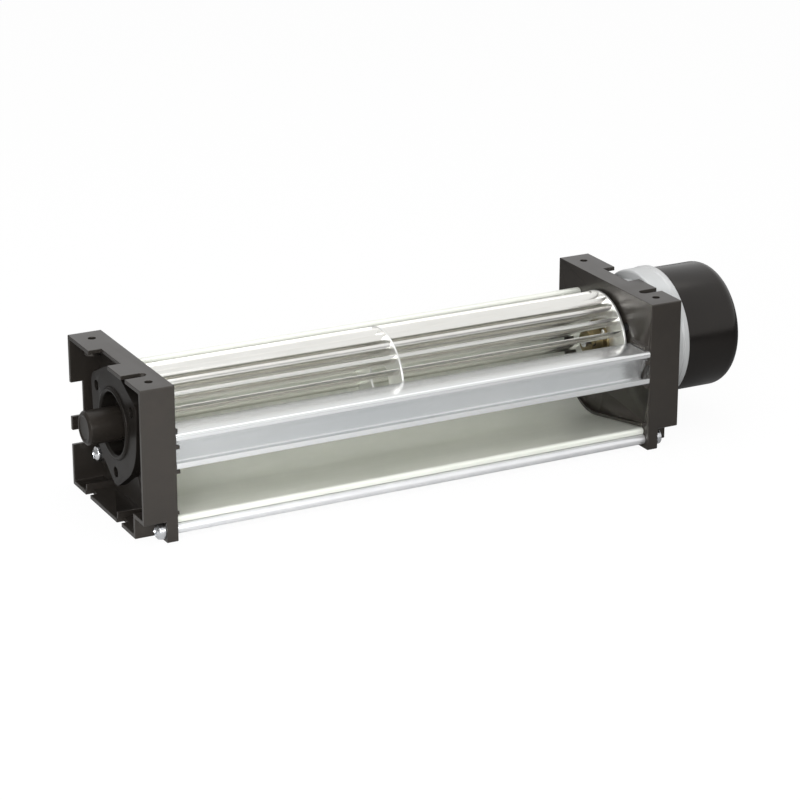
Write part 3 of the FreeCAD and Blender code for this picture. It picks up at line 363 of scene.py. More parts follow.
@dataclass(frozen=True)
class TurnedMetal(Finish):
    """Turned or drawn metal: fine rings about the shaft and cloudy gloss."""

    rings: float = 2600.0
    relief: float = 0.004
    wear: float = 0.06
    metal: float = 1.0
    centre: Place = (0.0, *LAYOUT.axis)

    def lay_out(self, bench: NodeBench) -> Material:
        """Lays out tool marks that follow the distance from the shaft and the place along it.

        Args:
            bench: Empty bench.

        Returns:
            The finished material.
        """
        parts = bench.add("SeparateXYZ", {0: bench.spread((1.0,) * 3, self.centre)}).outputs
        flat = bench.add("CombineXYZ", {1: parts[1], 2: parts[2]})
        pair = bench.add("CombineXYZ", {0: parts[0], 1: bench.length(flat.outputs[0])})
        scaled = bench.add("Mapping", {"Vector": pair.outputs[0], "Scale": (self.rings, self.rings, 1.0)})
        marks = bench.noise(scaled.outputs[0], 3.0, 0.6)
        gloss = bench.remap(marks, self.roughness - self.wear * 0.8, self.roughness + self.wear * 1.3)
        return bench.surface(Base_Color=self.tinted(bench, bench.clouds(60.0, 4.0, 0.5)), Metallic=self.metal,
                             Roughness=gloss, Normal=bench.bump(marks, self.relief, 0.5))


@dataclass(frozen=True)
class StackedSheet(Finish):
    """Varnished stack of thin laminations along the shaft."""

    pitch: float = 0.5

    def lay_out(self, bench: NodeBench) -> Material:
        """Lays out the sheet edges as bands along X.

        Args:
            bench: Empty bench.

        Returns:
            The finished material.
        """
        inputs = {"Vector": bench.spread((1.0,) * 3), "Scale": WAVE_PERIOD / (self.pitch * MM),
                  "Distortion": 0.4, "Detail": 1.0}
        edge = bench.add("TexWave", inputs, bands_direction="X").outputs[1]
        varnish = bench.noise(bench.spread((120.0, 260.0, 260.0)), 4.0, 0.6)
        gloss = bench.remap(edge, self.roughness - 0.08, self.roughness + 0.1, FULL_RANGE)
        return bench.surface(Base_Color=self.tinted(bench, varnish), Metallic=0.7, Roughness=gloss,
                             Normal=bench.bump(edge, 0.08))


@dataclass(frozen=True)
class WoundWire(Finish):
    """Enamelled wire laid round the shaft in even turns."""

    wire: float = 0.35

    def lay_out(self, bench: NodeBench) -> Material:
        """Lays out the turns as rings about the shaft.

        Args:
            bench: Empty bench.

        Returns:
            The finished material.
        """
        where = bench.spread((1.0,) * 3, (0.0, *LAYOUT.axis))
        inputs = {"Vector": where, "Scale": WAVE_PERIOD / (self.wire * MM), "Distortion": 1.2,
                  "Detail": 2.0, "Detail Scale": 0.4}
        turns = bench.add("TexWave", inputs, wave_type="RINGS", rings_direction="X").outputs[1]
        gloss = bench.remap(turns, self.roughness - 0.09, self.roughness + 0.11, FULL_RANGE)
        return bench.surface(Base_Color=self.tinted(bench, bench.clouds(300.0, 3.0, 0.5)), Metallic=0.8,
                             Roughness=gloss, Normal=bench.bump(turns, 0.1))


@dataclass(frozen=True)
class PorousMetal(Finish):
    """Sintered bronze with open pores and a film of oil."""

    pores: float = 4200.0

    def lay_out(self, bench: NodeBench) -> Material:
        """Lays out the pores as cells.

        Args:
            bench: Empty bench.

        Returns:
            The finished material.
        """
        cells = bench.add("TexVoronoi", {"Vector": bench.spread((self.pores,) * 3), "Scale": 1.0}).outputs[0]
        gloss = bench.remap(cells, self.roughness + 0.1, self.roughness - 0.05, (0.0, 0.7))
        return bench.surface(Base_Color=self.tinted(bench, cells, (0.1, 0.6)), Metallic=0.9, Roughness=gloss,
                             Normal=bench.bump(cells, 0.02))


@dataclass(frozen=True)
class SoftRubber(Finish):
    """Matt rubber with a dusty bloom."""

    def lay_out(self, bench: NodeBench) -> Material:
        """Lays out the bloom and a fine grain.

        Args:
            bench: Empty bench.

        Returns:
            The finished material.
        """
        bloom = bench.clouds(140.0, 5.0, 0.6)
        gloss = bench.remap(bloom, self.roughness, self.roughness + 0.12)
        return bench.surface(Base_Color=self.tinted(bench, bloom), Roughness=gloss,
                             Normal=bench.bump(bench.clouds(3000.0, 2.0, 0.5), 0.02))


BRACKET_PLASTIC = MouldedPlastic("bracket_plastic", (42, 38, 34), (37, 34, 31), 0.31, index=1.52)
PLATE_PLASTIC = MouldedPlastic("plate_plastic", (31, 28, 25), (25, 23, 21), 0.31, specular=0.12)
CAP_PLASTIC = MouldedPlastic("cap_plastic", (38, 34, 30), (31, 28, 25), 0.32, specular=0.22)
MOTOR_CAP_PLASTIC = MouldedPlastic("motor_cap_plastic", (18, 15, 13), (14, 12, 11), 0.22,
                                   grain=1400.0, grain_depth=0.012)
SPACER_PLASTIC = MouldedPlastic("spacer_plastic", (236, 233, 224), (222, 218, 206), 0.45)
CASING_SHEET = RolledSheet("casing_sheet", (242, 244, 236), (235, 238, 228), 0.34, slot="sheet_metal",
                           relief=0.002, wear=0.03, metal=0.45)
STABILISER_SHEET = RolledSheet("stabiliser_sheet", (232, 233, 233), (226, 228, 229), 0.20,
                               slot="stabiliser_metal", streaks=(4.0, 260.0, 260.0), relief=0.0003,
                               spangle=18.0, wear=0.01, metal=0.85)
BLADE_SHEET = RolledSheet("blade_sheet", (243, 242, 238), (236, 235, 230), 0.20, slot="rotor_aluminium",
                          streaks=(14.0, 900.0, 900.0), relief=0.001, wear=0.03)
DISC_SHEET = TurnedMetal("disc_sheet", (240, 240, 238), (226, 226, 224), 0.31, slot="rotor_aluminium",
                         rings=900.0, wear=0.02, metal=0.9)
ROD_STEEL = TurnedMetal("rod_steel", (241, 242, 243), (232, 233, 235), 0.30, slot="rod_steel",
                        rings=400.0, relief=0.0002, wear=0.008, metal=0.75)
SCREW_STEEL = TurnedMetal("screw_steel", (232, 233, 235), (206, 208, 211), 0.23, rings=3200.0, wear=0.025)
DARK_STEEL = TurnedMetal("dark_steel", (46, 45, 45), (34, 33, 33), 0.42, slot="black_screw", rings=3200.0)
MOTOR_STEEL = TurnedMetal("motor_steel", (198, 199, 199), (191, 193, 193), 0.42, rings=1500.0, relief=0.002,
                          metal=0.35)
SHAFT_STEEL = TurnedMetal("shaft_steel", (206, 207, 210), (188, 189, 192), 0.18, rings=4200.0)
# Brass darkened well below bare brass: painted shade for the hubs' place deep inside the rotor.
HUB_BRASS_PAINTED_SHADE = TurnedMetal("hub_brass", (128, 116, 84), (102, 94, 72), 0.38, rings=2400.0)
BRONZE = PorousMetal("sintered_bronze", (188, 148, 96), (112, 80, 46), 0.42)
RUBBER = SoftRubber("isolator_rubber", (48, 47, 46), (34, 33, 33), 0.78)
LAMINATION = StackedSheet("lamination", (96, 98, 104), (66, 64, 66), 0.45)
COPPER = WoundWire("enamelled_copper", (196, 110, 62), (150, 74, 38), 0.34)


def closed_up(mesh: BMesh) -> BMesh:
    """Merges a mesh's doubles and turns its faces one way.

    Args:
        mesh: The mesh, which is changed.

    Returns:
        The same mesh.
    """
    bmesh.ops.remove_doubles(mesh, verts=mesh.verts, dist=MERGE_DISTANCE)
    bmesh.ops.recalc_face_normals(mesh, faces=mesh.faces)
    return mesh


class Profile:
    """Line of a piece's section, drawn step by step and then turned or stretched into a mesh."""

    def __init__(self, plane: Plane, origin: Sequence[float], point: Pair, heading: float = 0.0) -> None:
        """Starts the line.

        Args:
            plane: Plane that it lies in.
            origin: Point in millimetres that its places are counted from.
            point: Its first place in the plane.
            heading: Direction of its first run in degrees.
        """
        self.mesh = bmesh.new()
        self.first_axis, self.second_axis = (Vector(axis) for axis in plane.value)
        self.origin = Vector(origin)
        self.tip = self.head = self.mesh.verts.new(self.spot(point))
        self.heading = heading
        self.corners: dict[float, list[BMVert]] = {}

    def spot(self, point: Pair) -> Vector:
        """Place in metres of a point of the profile's plane."""
        return (self.origin + point[0] * self.first_axis + point[1] * self.second_axis) * MM

    @property
    def point(self) -> Pair:
        """Place of the line's tip in the profile's plane."""
        place = self.tip.co / MM - self.origin
        return place.dot(self.first_axis), place.dot(self.second_axis)

    def trace(self, *stops: Sequence[float]) -> "Profile":
        """Draws straight runs.

        Args:
            stops: Places in the profile's plane, each followed by its corner's rounding if it has one.

        Returns:
            This profile.
        """
        for first, second, *rounding in stops:
            self.tip = bmesh.ops.extrude_vert_indiv(self.mesh, verts=[self.tip])["verts"][0]
            bmesh.ops.translate(self.mesh, vec=self.spot((first, second)) - self.tip.co, verts=[self.tip])
            for radius in rounding:
                self.corners.setdefault(radius, []).append(self.tip)
        return self

    def swing(self, centre: Pair, turn: float, steps: int) -> "Profile":
        """Draws an arc about a centre.

        Args:
            centre: Centre in the profile's plane.
            turn: Degrees, positive from the first axis to the second.
            steps: Number of straight pieces.

        Returns:
            This profile.
        """
        axis = self.first_axis.cross(self.second_axis)
        grown = bmesh.ops.spin(self.mesh, geom=[self.tip], cent=self.spot(centre), axis=axis,
                               dvec=(0, 0, 0), angle=math.radians(turn), steps=steps)
        self.tip = next(item for item in grown["geom_last"] if isinstance(item, BMVert))
        self.heading += turn
        return self

    def go(self, length: float) -> "Profile":
        """Draws a straight run along the heading."""
        return self.trace(shifted(self.point, length, self.heading))

    def bend(self, radius: float, turn: float, steps: int = 6) -> "Profile":
        """Draws a bend, positive to the left, that leaves along the turned heading."""
        centre = shifted(self.point, radius, self.heading + math.copysign(90, turn))
        return self.swing(centre, turn, steps)

    def close(self) -> "Profile":
        """Joins the line's tip to its first point."""
        self.mesh.edges.new((self.tip, self.head))
        return self

    def soften(self) -> None:
        """Rounds the corners that were given a radius."""
        for radius, verts in self.corners.items():
            bmesh.ops.bevel(self.mesh, geom=verts, offset=radius * MM, offset_type="OFFSET", segments=4,
                            profile=0.5, affect="VERTICES", clamp_overlap=False, material=-1)

    def turned(self, steps: int) -> BMesh:
        """Turns the line about the X axis through the origin.

        Args:
            steps: Number of facets round.

        Returns:
            The closed mesh.
        """
        self.soften()
        mesh = self.mesh
        bmesh.ops.spin(mesh, geom=mesh.verts[:] + mesh.edges[:], cent=self.origin * MM, axis=ALONG,
                       dvec=(0, 0, 0), angle=FULL_TURN, steps=steps, use_merge=True)
        return closed_up(mesh)

    def stretched(self, length: float, parts: int) -> BMesh:
        """Stretches the line along X into a sheet that faces the line's right-hand side.

        Args:
            length: Length along X.
            parts: Number of lengths that it is divided into.

        Returns:
            The open sheet.
        """
        mesh = self.mesh
        run = self.head.link_edges[0].other_vert(self.head).co - self.head.co
        right = run.cross(self.first_axis.cross(self.second_axis))
        edges = mesh.edges[:]
        for _ in range(parts):
            grown = bmesh.ops.extrude_edge_only(mesh, edges=edges)["geom"]
            verts = [item for item in grown if isinstance(item, BMVert)]
            edges = [item for item in grown if isinstance(item, BMEdge)]
            edges = [edge for edge in edges if all(vert in verts for vert in edge.verts)]
            bmesh.ops.translate(mesh, vec=ALONG * length * MM / parts, verts=verts)
        closed_up(mesh)
        if self.head.link_faces[0].normal.dot(right) < 0:
            bmesh.ops.reverse_faces(mesh, faces=mesh.faces)
        return mesh


def lathed(steps: int, *stops: Sequence[float], centre: Pair = LAYOUT.axis) -> BMesh:
    """Solid turned about a line along X; it has a bore if its first place is off that line.

    Args:
        steps: Number of facets round.
        stops: Places along X and out from the line, each followed by its corner's rounding if it has one.
        centre: The line's place in the section plane.

    Returns:
        The closed mesh.
    """
    line = Profile(Plane.LENGTHWISE, (0.0, *centre), stops[0]).trace(*stops[1:])
    if stops[0][1] > 0:
        line.close()
    return line.turned(steps)


def round_bar(low: float, high: float, radius: float, centre: Pair = LAYOUT.axis) -> BMesh:
    """Round bar with softened ends between two places along X."""
    return lathed(Facets.BAR, (low, 0.0), (low, radius, 0.4), (high, radius, 0.4), (high, 0.0), centre=centre)


def stored(name: str, mesh: BMesh) -> bpy.types.Mesh:
    """Mesh data made of a mesh, which is used up.

    Args:
        name: The data's name.
        mesh: The mesh.

    Returns:
        The data.
    """
    data = bpy.data.meshes.new(name)
    mesh.to_mesh(data)
    mesh.free()
    return data


def linked(name: str, data: bpy.types.ID) -> Object:
    """New object of the scene that holds some data.

    Args:
        name: The object's name.
        data: Its mesh, lamp or camera.

    Returns:
        The object.
    """
    item = bpy.data.objects.new(name, data)
    bpy.context.scene.collection.objects.link(item)
    return item


@dataclass
class Piece:
    """One piece of the fan: its name, finish, body and the solids that it stands for."""

    name: str
    finish: Finish
    replaces: tuple[str, ...]
    body: Body = Body.FRAME
    sheet: float = 0.0
    sheet_offset: float = -1.0
    edge: float = 0.0
    edge_segments: int = 2
    smooth_angle: float = 32.0
    outer_edges: bool = False

    @property
    def slot(self) -> str:
        """Material slot that the finish stands for."""
        return self.finish.slot or self.finish.name

    def dress(self, mesh: BMesh) -> None:
        """Makes the object of a finished mesh, gives it its finish and sets it on its body.

        Args:
            mesh: The piece's mesh, in place.
        """
        limit = math.radians(self.smooth_angle)
        if self.outer_edges:
            weights = mesh.edges.layers.float.new("bevel_weight_edge")
            for line in mesh.edges:
                if len(line.link_faces) == 2 and line.is_convex and line.calc_face_angle() > limit:
                    line[weights] = 1.0
        data = stored(self.name, mesh)
        data.shade_smooth()
        data.set_sharp_from_angle(angle=limit)
        data.materials.append(self.finish.material())
        item = linked(self.name, data)
        if self.sheet:
            thick = item.modifiers.new("thickness", "SOLIDIFY")
            thick.thickness = self.sheet * MM
            thick.offset = self.sheet_offset
            thick.use_even_offset = True
        if self.edge:
            soft = item.modifiers.new("edges", "BEVEL")
            soft.width = self.edge * MM
            soft.segments = self.edge_segments
            soft.limit_method = "WEIGHT" if self.outer_edges else "ANGLE"
            soft.angle_limit = limit
            soft.use_clamp_overlap = False
            soft.harden_normals = True
        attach(item, self.body.value)
        self.slot
        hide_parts(*self.replaces)
        LOG.info("%s on %s, %d faces", self.name, self.body.value, len(data.polygons))


def stand_in(node: str, ending: str, finish: Finish, mesh: BMesh, **how: object) -> None:
    """Dresses a mesh as the piece, named by the node and an ending, that replaces one solid."""
    Piece(f"{node}_{ending}", finish, (node,), **how).dress(mesh)


def copied(node: str) -> BMesh:
    """Copy of a solid's mesh, merged and with its flat faces joined.

    Args:
        node: The solid's name in the frame.

    Returns:
        The merged copy.
    """
    mesh = bmesh.new()
    mesh.from_mesh(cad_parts[node].data)
    bmesh.ops.remove_doubles(mesh, verts=mesh.verts, dist=MERGE_DISTANCE)
    bmesh.ops.dissolve_limit(mesh, angle_limit=math.radians(FLAT_ANGLE), verts=mesh.verts, edges=mesh.edges)
    return mesh


def joined(meshes: Iterable[BMesh]) -> BMesh:
    """Puts several meshes into one.

    Args:
        meshes: Meshes, which are used up.

    Returns:
        The mesh that holds them all.
    """
    whole = bmesh.new()
    for mesh in meshes:
        data = stored("part", mesh)
        whole.from_mesh(data)
        bpy.data.meshes.remove(data)
    return whole


def cut_away(body: BMesh, tool: BMesh) -> BMesh:
    """Cuts one mesh out of another.

    Args:
        body: Mesh to cut, which is used up.
        tool: Mesh to cut with, which is used up.

    Returns:
        The cut mesh.
    """
    items = [linked("cut", stored("cut", mesh)) for mesh in (body, tool)]
    cut = items[0].modifiers.new("cut", "BOOLEAN")
    cut.operation = "DIFFERENCE"
    cut.solver = "EXACT"
    cut.use_self = True
    cut.object = items[1]
    graph = bpy.context.evaluated_depsgraph_get()
    result = bmesh.new()
    result.from_mesh(bpy.data.meshes.new_from_object(items[0].evaluated_get(graph)))
    for item in items:
        data = item.data
        bpy.data.objects.remove(item)
        bpy.data.meshes.remove(data)
    return result


@dataclass(frozen=True)
class PanScrew:
    """Pan head screw with a tapered cross recess; it points along +X or -X."""

    head_radius: float
    head_height: float
    shank_radius: float
    reach: float
    arm: float
    arm_width: float
    recess_depth: float
    recess_lead: float = 0.6
    recess_taper: float = 0.55
    crown: Pair = (0.94, 0.55)
    shoulder: Pair = (0.62, 0.93)
    softness: float = 0.08
    point: float = 0.5
    point_share: float = 0.75

    def build(self, side: Side, depth: float, centre: Pair) -> BMesh:
        """Builds the screw with its head outward of a face.

        Args:
            side: End of the fan that the screw is driven from.
            depth: Depth of the face under the head below the bracket's outer face.
            centre: Screw's place in the section plane.

        Returns:
            The screw's mesh.
        """
        def along(value: float) -> float:
            """Place along X at a distance behind the face under the head."""
            return LAYOUT.depth(side, depth + value)
        height, radius, shank = self.head_height, self.head_radius, self.shank_radius
        domed = [(along(-height * up), radius * out, radius * self.softness)
                 for up, out in (self.crown, self.shoulder)]
        screw = lathed(Facets.SCREW, (along(-height), 0.0), *domed, (along(0.0), radius, 0.25),
                       (along(0.0), shank), (along(self.reach - self.point), shank),
                       (along(self.reach), shank * self.point_share), (along(self.reach), 0.0), centre=centre)
        top, bottom = along(-height - self.recess_lead), along(-height + self.recess_depth)
        middle = Vector(((top + bottom) / 2, *centre)) * MM
        arms = []
        for half_y, half_z in ((self.arm, self.arm_width), (self.arm_width, self.arm)):
            sizes = Vector((abs(bottom - top), 2 * half_y, 2 * half_z)) * MM
            arm = bmesh.new()
            bmesh.ops.create_cube(arm, size=1.0, matrix=Matrix.LocRotScale(middle, None, sizes))
            deep = [vert for vert in arm.verts if (vert.co.x - middle.x) * side.value > 0]
            bmesh.ops.scale(arm, vec=(1.0, self.recess_taper, self.recess_taper), verts=deep,
                            space=Matrix.Translation(-middle))
            arms.append(arm)
        return cut_away(screw, joined(arms))


@dataclass
class Brackets:
    """The two moulded brackets and the screws and washers that hold them to the tie rods."""

    edge: float = 0.28
    tab_thickness: float = 6.6
    washer_radius: float = 4.6
    washer_thickness: float = 0.9
    washer_hole: float = 2.2
    rod_radius: float = 3.0
    front_rod: Pair = (LAYOUT.front + 5.6, 5.6)
    screw: PanScrew = PanScrew(4.8, 4.2, 1.95, 17.5, 2.8, 0.7, 2.4)

    def rear_rod(self) -> Pair:
        """Place of the rear tie rod, read from its solid."""
        low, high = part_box("rear_tie_rod")
        return (low.y + high.y) / 2 / MM, (low.z + high.z) / 2 / MM

    def build(self) -> None:
        """Builds the brackets, rods, screws and washers."""
        for node in ("bearing_bracket", "motor_bracket"):
            stand_in(node, "moulding", BRACKET_PLASTIC, copied(node), edge=self.edge, outer_edges=True)
        rods = {"front_tie_rod": self.front_rod, "rear_tie_rod": self.rear_rod()}
        for node, centre in rods.items():
            finish = replace(ROD_STEEL, name=node + "_steel", centre=(0.0, *centre))
            bar = round_bar(LAYOUT.span_start, LAYOUT.span_end, self.rod_radius, centre)
            stand_in(node, "bar", finish, bar)
        depth = LAYOUT.bracket_width - self.tab_thickness - self.washer_thickness
        hole, rim = self.washer_hole, self.washer_radius
        screws, washers = [], []
        for centre in rods.values():
            for side in Side:
                screws.append(self.screw.build(side, depth, centre))
                outer, inner = (LAYOUT.depth(side, depth + under) for under in (0.0, self.washer_thickness))
                washers.append(lathed(Facets.SCREW, (outer, hole), (outer, rim, 0.2), (inner, rim, 0.2),
                                      (inner, hole), centre=centre))
        stand_in("rod_screws", "crosshead", SCREW_STEEL, joined(screws), edge=0.08)
        stand_in("rod_washers", "plain", SCREW_STEEL, joined(washers))


@dataclass
class AirGuides:
    """Scroll casing and stabiliser, the two bent sheets between the brackets."""

    sheet: float = 0.8
    throat_gap: float = 4.0
    throat_angle: float = 36.0
    flare: float = 15.1
    sweep: float = 74.0
    arcs: int = 3
    floor_clearance: float = 3.0
    lip_setback: float = 5.0
    lip_bend: float = 1.2
    lip_drop: float = 1.6
    lip_base: float = 8.95
    roll_bend: float = 1.5
    roll_turn: float = 141.0
    roll_flange: float = 1.5
    stabiliser_sheet: float = 1.2
    stabiliser_top: float = 61.5
    stabiliser_base: float = 41.3
    upper_lip: float = 4.2
    lower_lip: float = 3.7
    tongue_gap: float = 2.0
    nose_drop: float = 10.0
    fold: float = 0.5
    hem: float = 0.4
    slope: float = 62.0
    lengths: int = 6

    def started(self, point: Pair, heading: float) -> Profile:
        """Section line that starts at a point beside the bearing end bracket."""
        origin = (LAYOUT.span_start + LAYOUT.sheet_end_clearance, 0.0, 0.0)
        return Profile(Plane.SECTION, origin, point, heading)

    def spanned(self, line: Profile) -> BMesh:
        """Open sheet of a section line, as long as the room between the brackets."""
        return line.stretched(LAYOUT.outlet_span - 2 * LAYOUT.sheet_end_clearance, self.lengths)

    def casing(self) -> BMesh:
        """Draws the casing from its rolled edge round the scroll to its lip.

        Returns:
            The open sheet on the air side.
        """
        heading = self.throat_angle - 90 + self.flare
        edge_heading = heading - self.roll_turn
        throat, roll = LAYOUT.rotor_radius + self.throat_gap, self.roll_bend + self.sheet
        centre = shifted(LAYOUT.around_axis(self.throat_angle, throat), roll, heading + 90)
        tip = shifted(shifted(centre, roll, edge_heading - 90), -self.roll_flange, edge_heading)
        line = self.started(tip, edge_heading).go(self.roll_flange).bend(roll, self.roll_turn, 14)
        turn, flare = self.sweep / self.arcs, math.radians(self.flare)
        growth = math.exp(math.tan(flare) * math.radians(turn))
        radius = throat * (math.sqrt(growth) / math.cos(flare))
        for index in range(self.arcs):
            line.bend(radius * growth ** index, -turn, 10)
        drop = line.point[1] - self.floor_clearance - self.sheet
        floor_radius = drop / (1 - math.sin(math.radians(line.heading - 90)))
        floor_centre = shifted(line.point, floor_radius, line.heading - 90)
        lip = self.lip_bend + self.sheet
        lip_centre = (LAYOUT.front + self.lip_setback + lip, self.lip_base + self.lip_drop)
        span, reach = math.dist(floor_centre, lip_centre), floor_radius + lip
        rise = math.atan2(lip_centre[1] - floor_centre[1], lip_centre[0] - floor_centre[0])
        rise = math.degrees(rise - math.asin(reach / span)) % 360
        line.bend(floor_radius, rise - line.heading % 360, 26).go(math.sqrt(span ** 2 - reach ** 2))
        return self.spanned(line.bend(lip, 270 - rise, 8).go(self.lip_drop))

    def stabiliser(self) -> BMesh:
        """Draws the stabiliser from its nose over its top plate and down its front.

        Returns:
            The open sheet on the side away from the outlet.
        """
        outer = self.fold + self.stabiliser_sheet
        nose = -(LAYOUT.rotor_radius + self.tongue_gap)
        line = self.started((nose, self.stabiliser_top - self.nose_drop), 90.0).go(self.nose_drop - outer)
        line.bend(outer, 90.0).go(nose - LAYOUT.front - 2 * outer).bend(outer, 90.0)
        line.go(self.upper_lip - 2 * outer).bend(outer, 90.0).go(self.hem).bend(self.fold, -self.slope)
        turn, low = math.radians(self.slope), self.stabiliser_base + self.stabiliser_sheet
        drop = line.point[1] - low - self.fold * (1 + math.cos(turn))
        line.go(drop / math.sin(turn)).bend(self.fold, self.slope - 180.0, 10)
        line.go(line.point[0] - LAYOUT.front - outer).bend(self.fold, -90.0).go(self.lower_lip - outer)
        return self.spanned(line)

    def build(self) -> None:
        """Builds both sheets."""
        stand_in("scroll_casing", "sheet", CASING_SHEET, self.casing(), sheet=self.sheet, edge=0.12,
                 smooth_angle=SHEET_SMOOTH_ANGLE)
        stand_in("stabiliser", "profile", STABILISER_SHEET, self.stabiliser(), sheet=self.stabiliser_sheet,
                 edge=0.15, smooth_angle=SHEET_SMOOTH_ANGLE)


@dataclass
class DrumRotor:
    """Blades, discs, hubs, rivets and shafts that turn together."""

    disc_gap: float = 1.7
    disc: float = 1.5
    bead: Pair = (15.0, 19.0)
    bead_depth: float = 0.5
    bead_slope: float = 1.0
    bead_growth: float = 0.6
    middle_disc: float = 1.2
    middle_bore: float = 12.0
    blades: int = 22
    tip_inset: float = 0.5
    blade_depth: float = 7.15
    blade_sheet: float = 0.5
    lean: float = 5.98
    sagitta: float = 1.21
    phase: float = 119.4
    stake: float = 0.5
    hub_radius: float = 7.5
    hub_length: float = 9.5
    hub_groove: float = 0.4
    groove_places: tuple[float, ...] = (3.2, 2.8, 2.0, 1.6)
    flange_radius: float = 12.5
    flange: float = 1.6
    spigot_radius: float = 5.0
    rivet_circle: float = 10.2
    rivet_phase: float = 45.0
    rivets: int = 4
    rivet_radius: float = 1.0
    rivet_head: float = 1.7
    rivet_height: float = 0.7
    shaft_radius: float = 3.0
    stub_start: float = -6.5
    in_hub: float = 11.0
    shaft_end: float = 51.7

    def face(self, side: Side) -> float:
        """Outer face of one end's disc along X."""
        return LAYOUT.depth(side, LAYOUT.bracket_width + self.disc_gap)

    def blade_ring(self) -> BMesh:
        """Draws one blade and sets copies of it round the shaft.

        Returns:
            The middle surfaces of all the blades.
        """
        tip_radius = LAYOUT.rotor_radius - self.tip_inset
        tip = Vector(LAYOUT.around_axis(0.0, tip_radius))
        root = Vector(LAYOUT.around_axis(self.lean, tip_radius - self.blade_depth))
        chord = root - tip
        radius = (chord.length ** 2 / 4 + self.sagitta ** 2) / (2 * self.sagitta)
        across = Vector((-chord.y, chord.x)).normalized()
        centre = (tip + root) / 2 + across * (radius - self.sagitta)
        turn = 2 * math.degrees(math.asin(chord.length / 2 / radius))
        start, end = self.face(Side.BEARING) - self.stake, self.face(Side.MOTOR) + self.stake
        line = Profile(Plane.SECTION, (start, 0.0, 0.0), tuple(tip)).swing(tuple(centre), turn, 8)
        blade = line.stretched(end - start, 2)
        axle = Vector((0.0, *LAYOUT.axis)) * MM
        geometry = blade.verts[:] + blade.edges[:] + blade.faces[:]
        around = Matrix.Rotation(math.radians(self.phase), 3, "X")
        bmesh.ops.rotate(blade, cent=axle, matrix=around, verts=blade.verts)
        bmesh.ops.spin(blade, geom=geometry, cent=axle, axis=ALONG, dvec=(0, 0, 0), use_duplicate=True,
                       angle=FULL_TURN * (self.blades - 1) / self.blades, steps=self.blades - 1)
        return blade

    def end_disc(self, side: Side) -> BMesh:
        """Draws an end disc with a pressed bead.

        Args:
            side: End of the fan that it closes.

        Returns:
            The closed disc.
        """
        outer, through = self.face(side), side.value * self.disc
        inner, dip = outer + through, outer + side.value * self.bead_depth
        rim, bore = LAYOUT.rotor_radius, self.spigot_radius
        (low, high), slope, growth = self.bead, self.bead_slope, self.bead_growth
        return lathed(Facets.DISC, (outer, bore), (outer, low, 0.6), (dip, low + slope, 0.6),
                      (dip, high - slope, 0.6), (outer, high, 0.6), (outer, rim, 0.3), (inner, rim, 0.3),
                      (inner, high + growth, 0.6), (dip + through, high - slope + growth, 0.6),
                      (dip + through, low + slope - growth, 0.6), (inner, low - growth, 0.6), (inner, bore))

    def ring_disc(self) -> BMesh:
        """Draws the middle disc with its plain bore.

        Returns:
            The closed ring.
        """
        middle, half = (LAYOUT.span_start + LAYOUT.span_end) / 2, self.middle_disc / 2
        bore, rim = self.middle_bore, LAYOUT.rotor_radius
        return lathed(Facets.DISC, (middle - half, bore), (middle - half, rim, 0.25),
                      (middle + half, rim, 0.25), (middle + half, bore, 0.3))

    def hub(self, side: Side) -> BMesh:
        """Draws a hub with its flange, spigot and grooved, chamfered barrel.

        Args:
            side: End of the fan that it is on.

        Returns:
            The closed hub.
        """
        def place(reach: float) -> float:
            """Place along X at a distance from the disc's inner face."""
            return self.face(side) + side.value * self.disc + side.value * reach
        face, bore, spigot, barrel = self.face(side), self.shaft_radius, self.spigot_radius, self.hub_radius
        brim, end, groove = self.flange_radius, self.hub_length, barrel - self.hub_groove
        first, second, third, fourth = (place(end - back) for back in self.groove_places)
        return lathed(Facets.HUB, (face, bore), (face, spigot), (place(0), spigot), (place(0), brim, 0.2),
                      (place(self.flange), brim, 0.4), (place(self.flange), barrel, 0.5),
                      (first, barrel, 0.2), (second, groove, 0.1), (third, groove, 0.1),
                      (fourth, barrel, 0.2), (place(end), barrel, 0.7), (place(end), bore, 0.3))

    def rivet_heads(self) -> BMesh:
        """Draws a domed head on each side of every rivet.

        Returns:
            All the rivets.
        """
        made, head, pin = [], self.rivet_head, self.rivet_radius
        for side in Side:
            low, rise = self.face(side), side.value * self.rivet_height
            high = low + side.value * (self.disc + self.flange)
            for index in range(self.rivets):
                centre = LAYOUT.around_axis(self.rivet_phase + index * 360 / self.rivets, self.rivet_circle)
                made.append(lathed(Facets.RIVET, (low - rise, 0.0), (low - rise, head, 0.6), (low, head),
                                   (low, pin), (high, pin), (high, head), (high + rise, head, 0.6),
                                   (high + rise, 0.0), centre=centre))
        return joined(made)

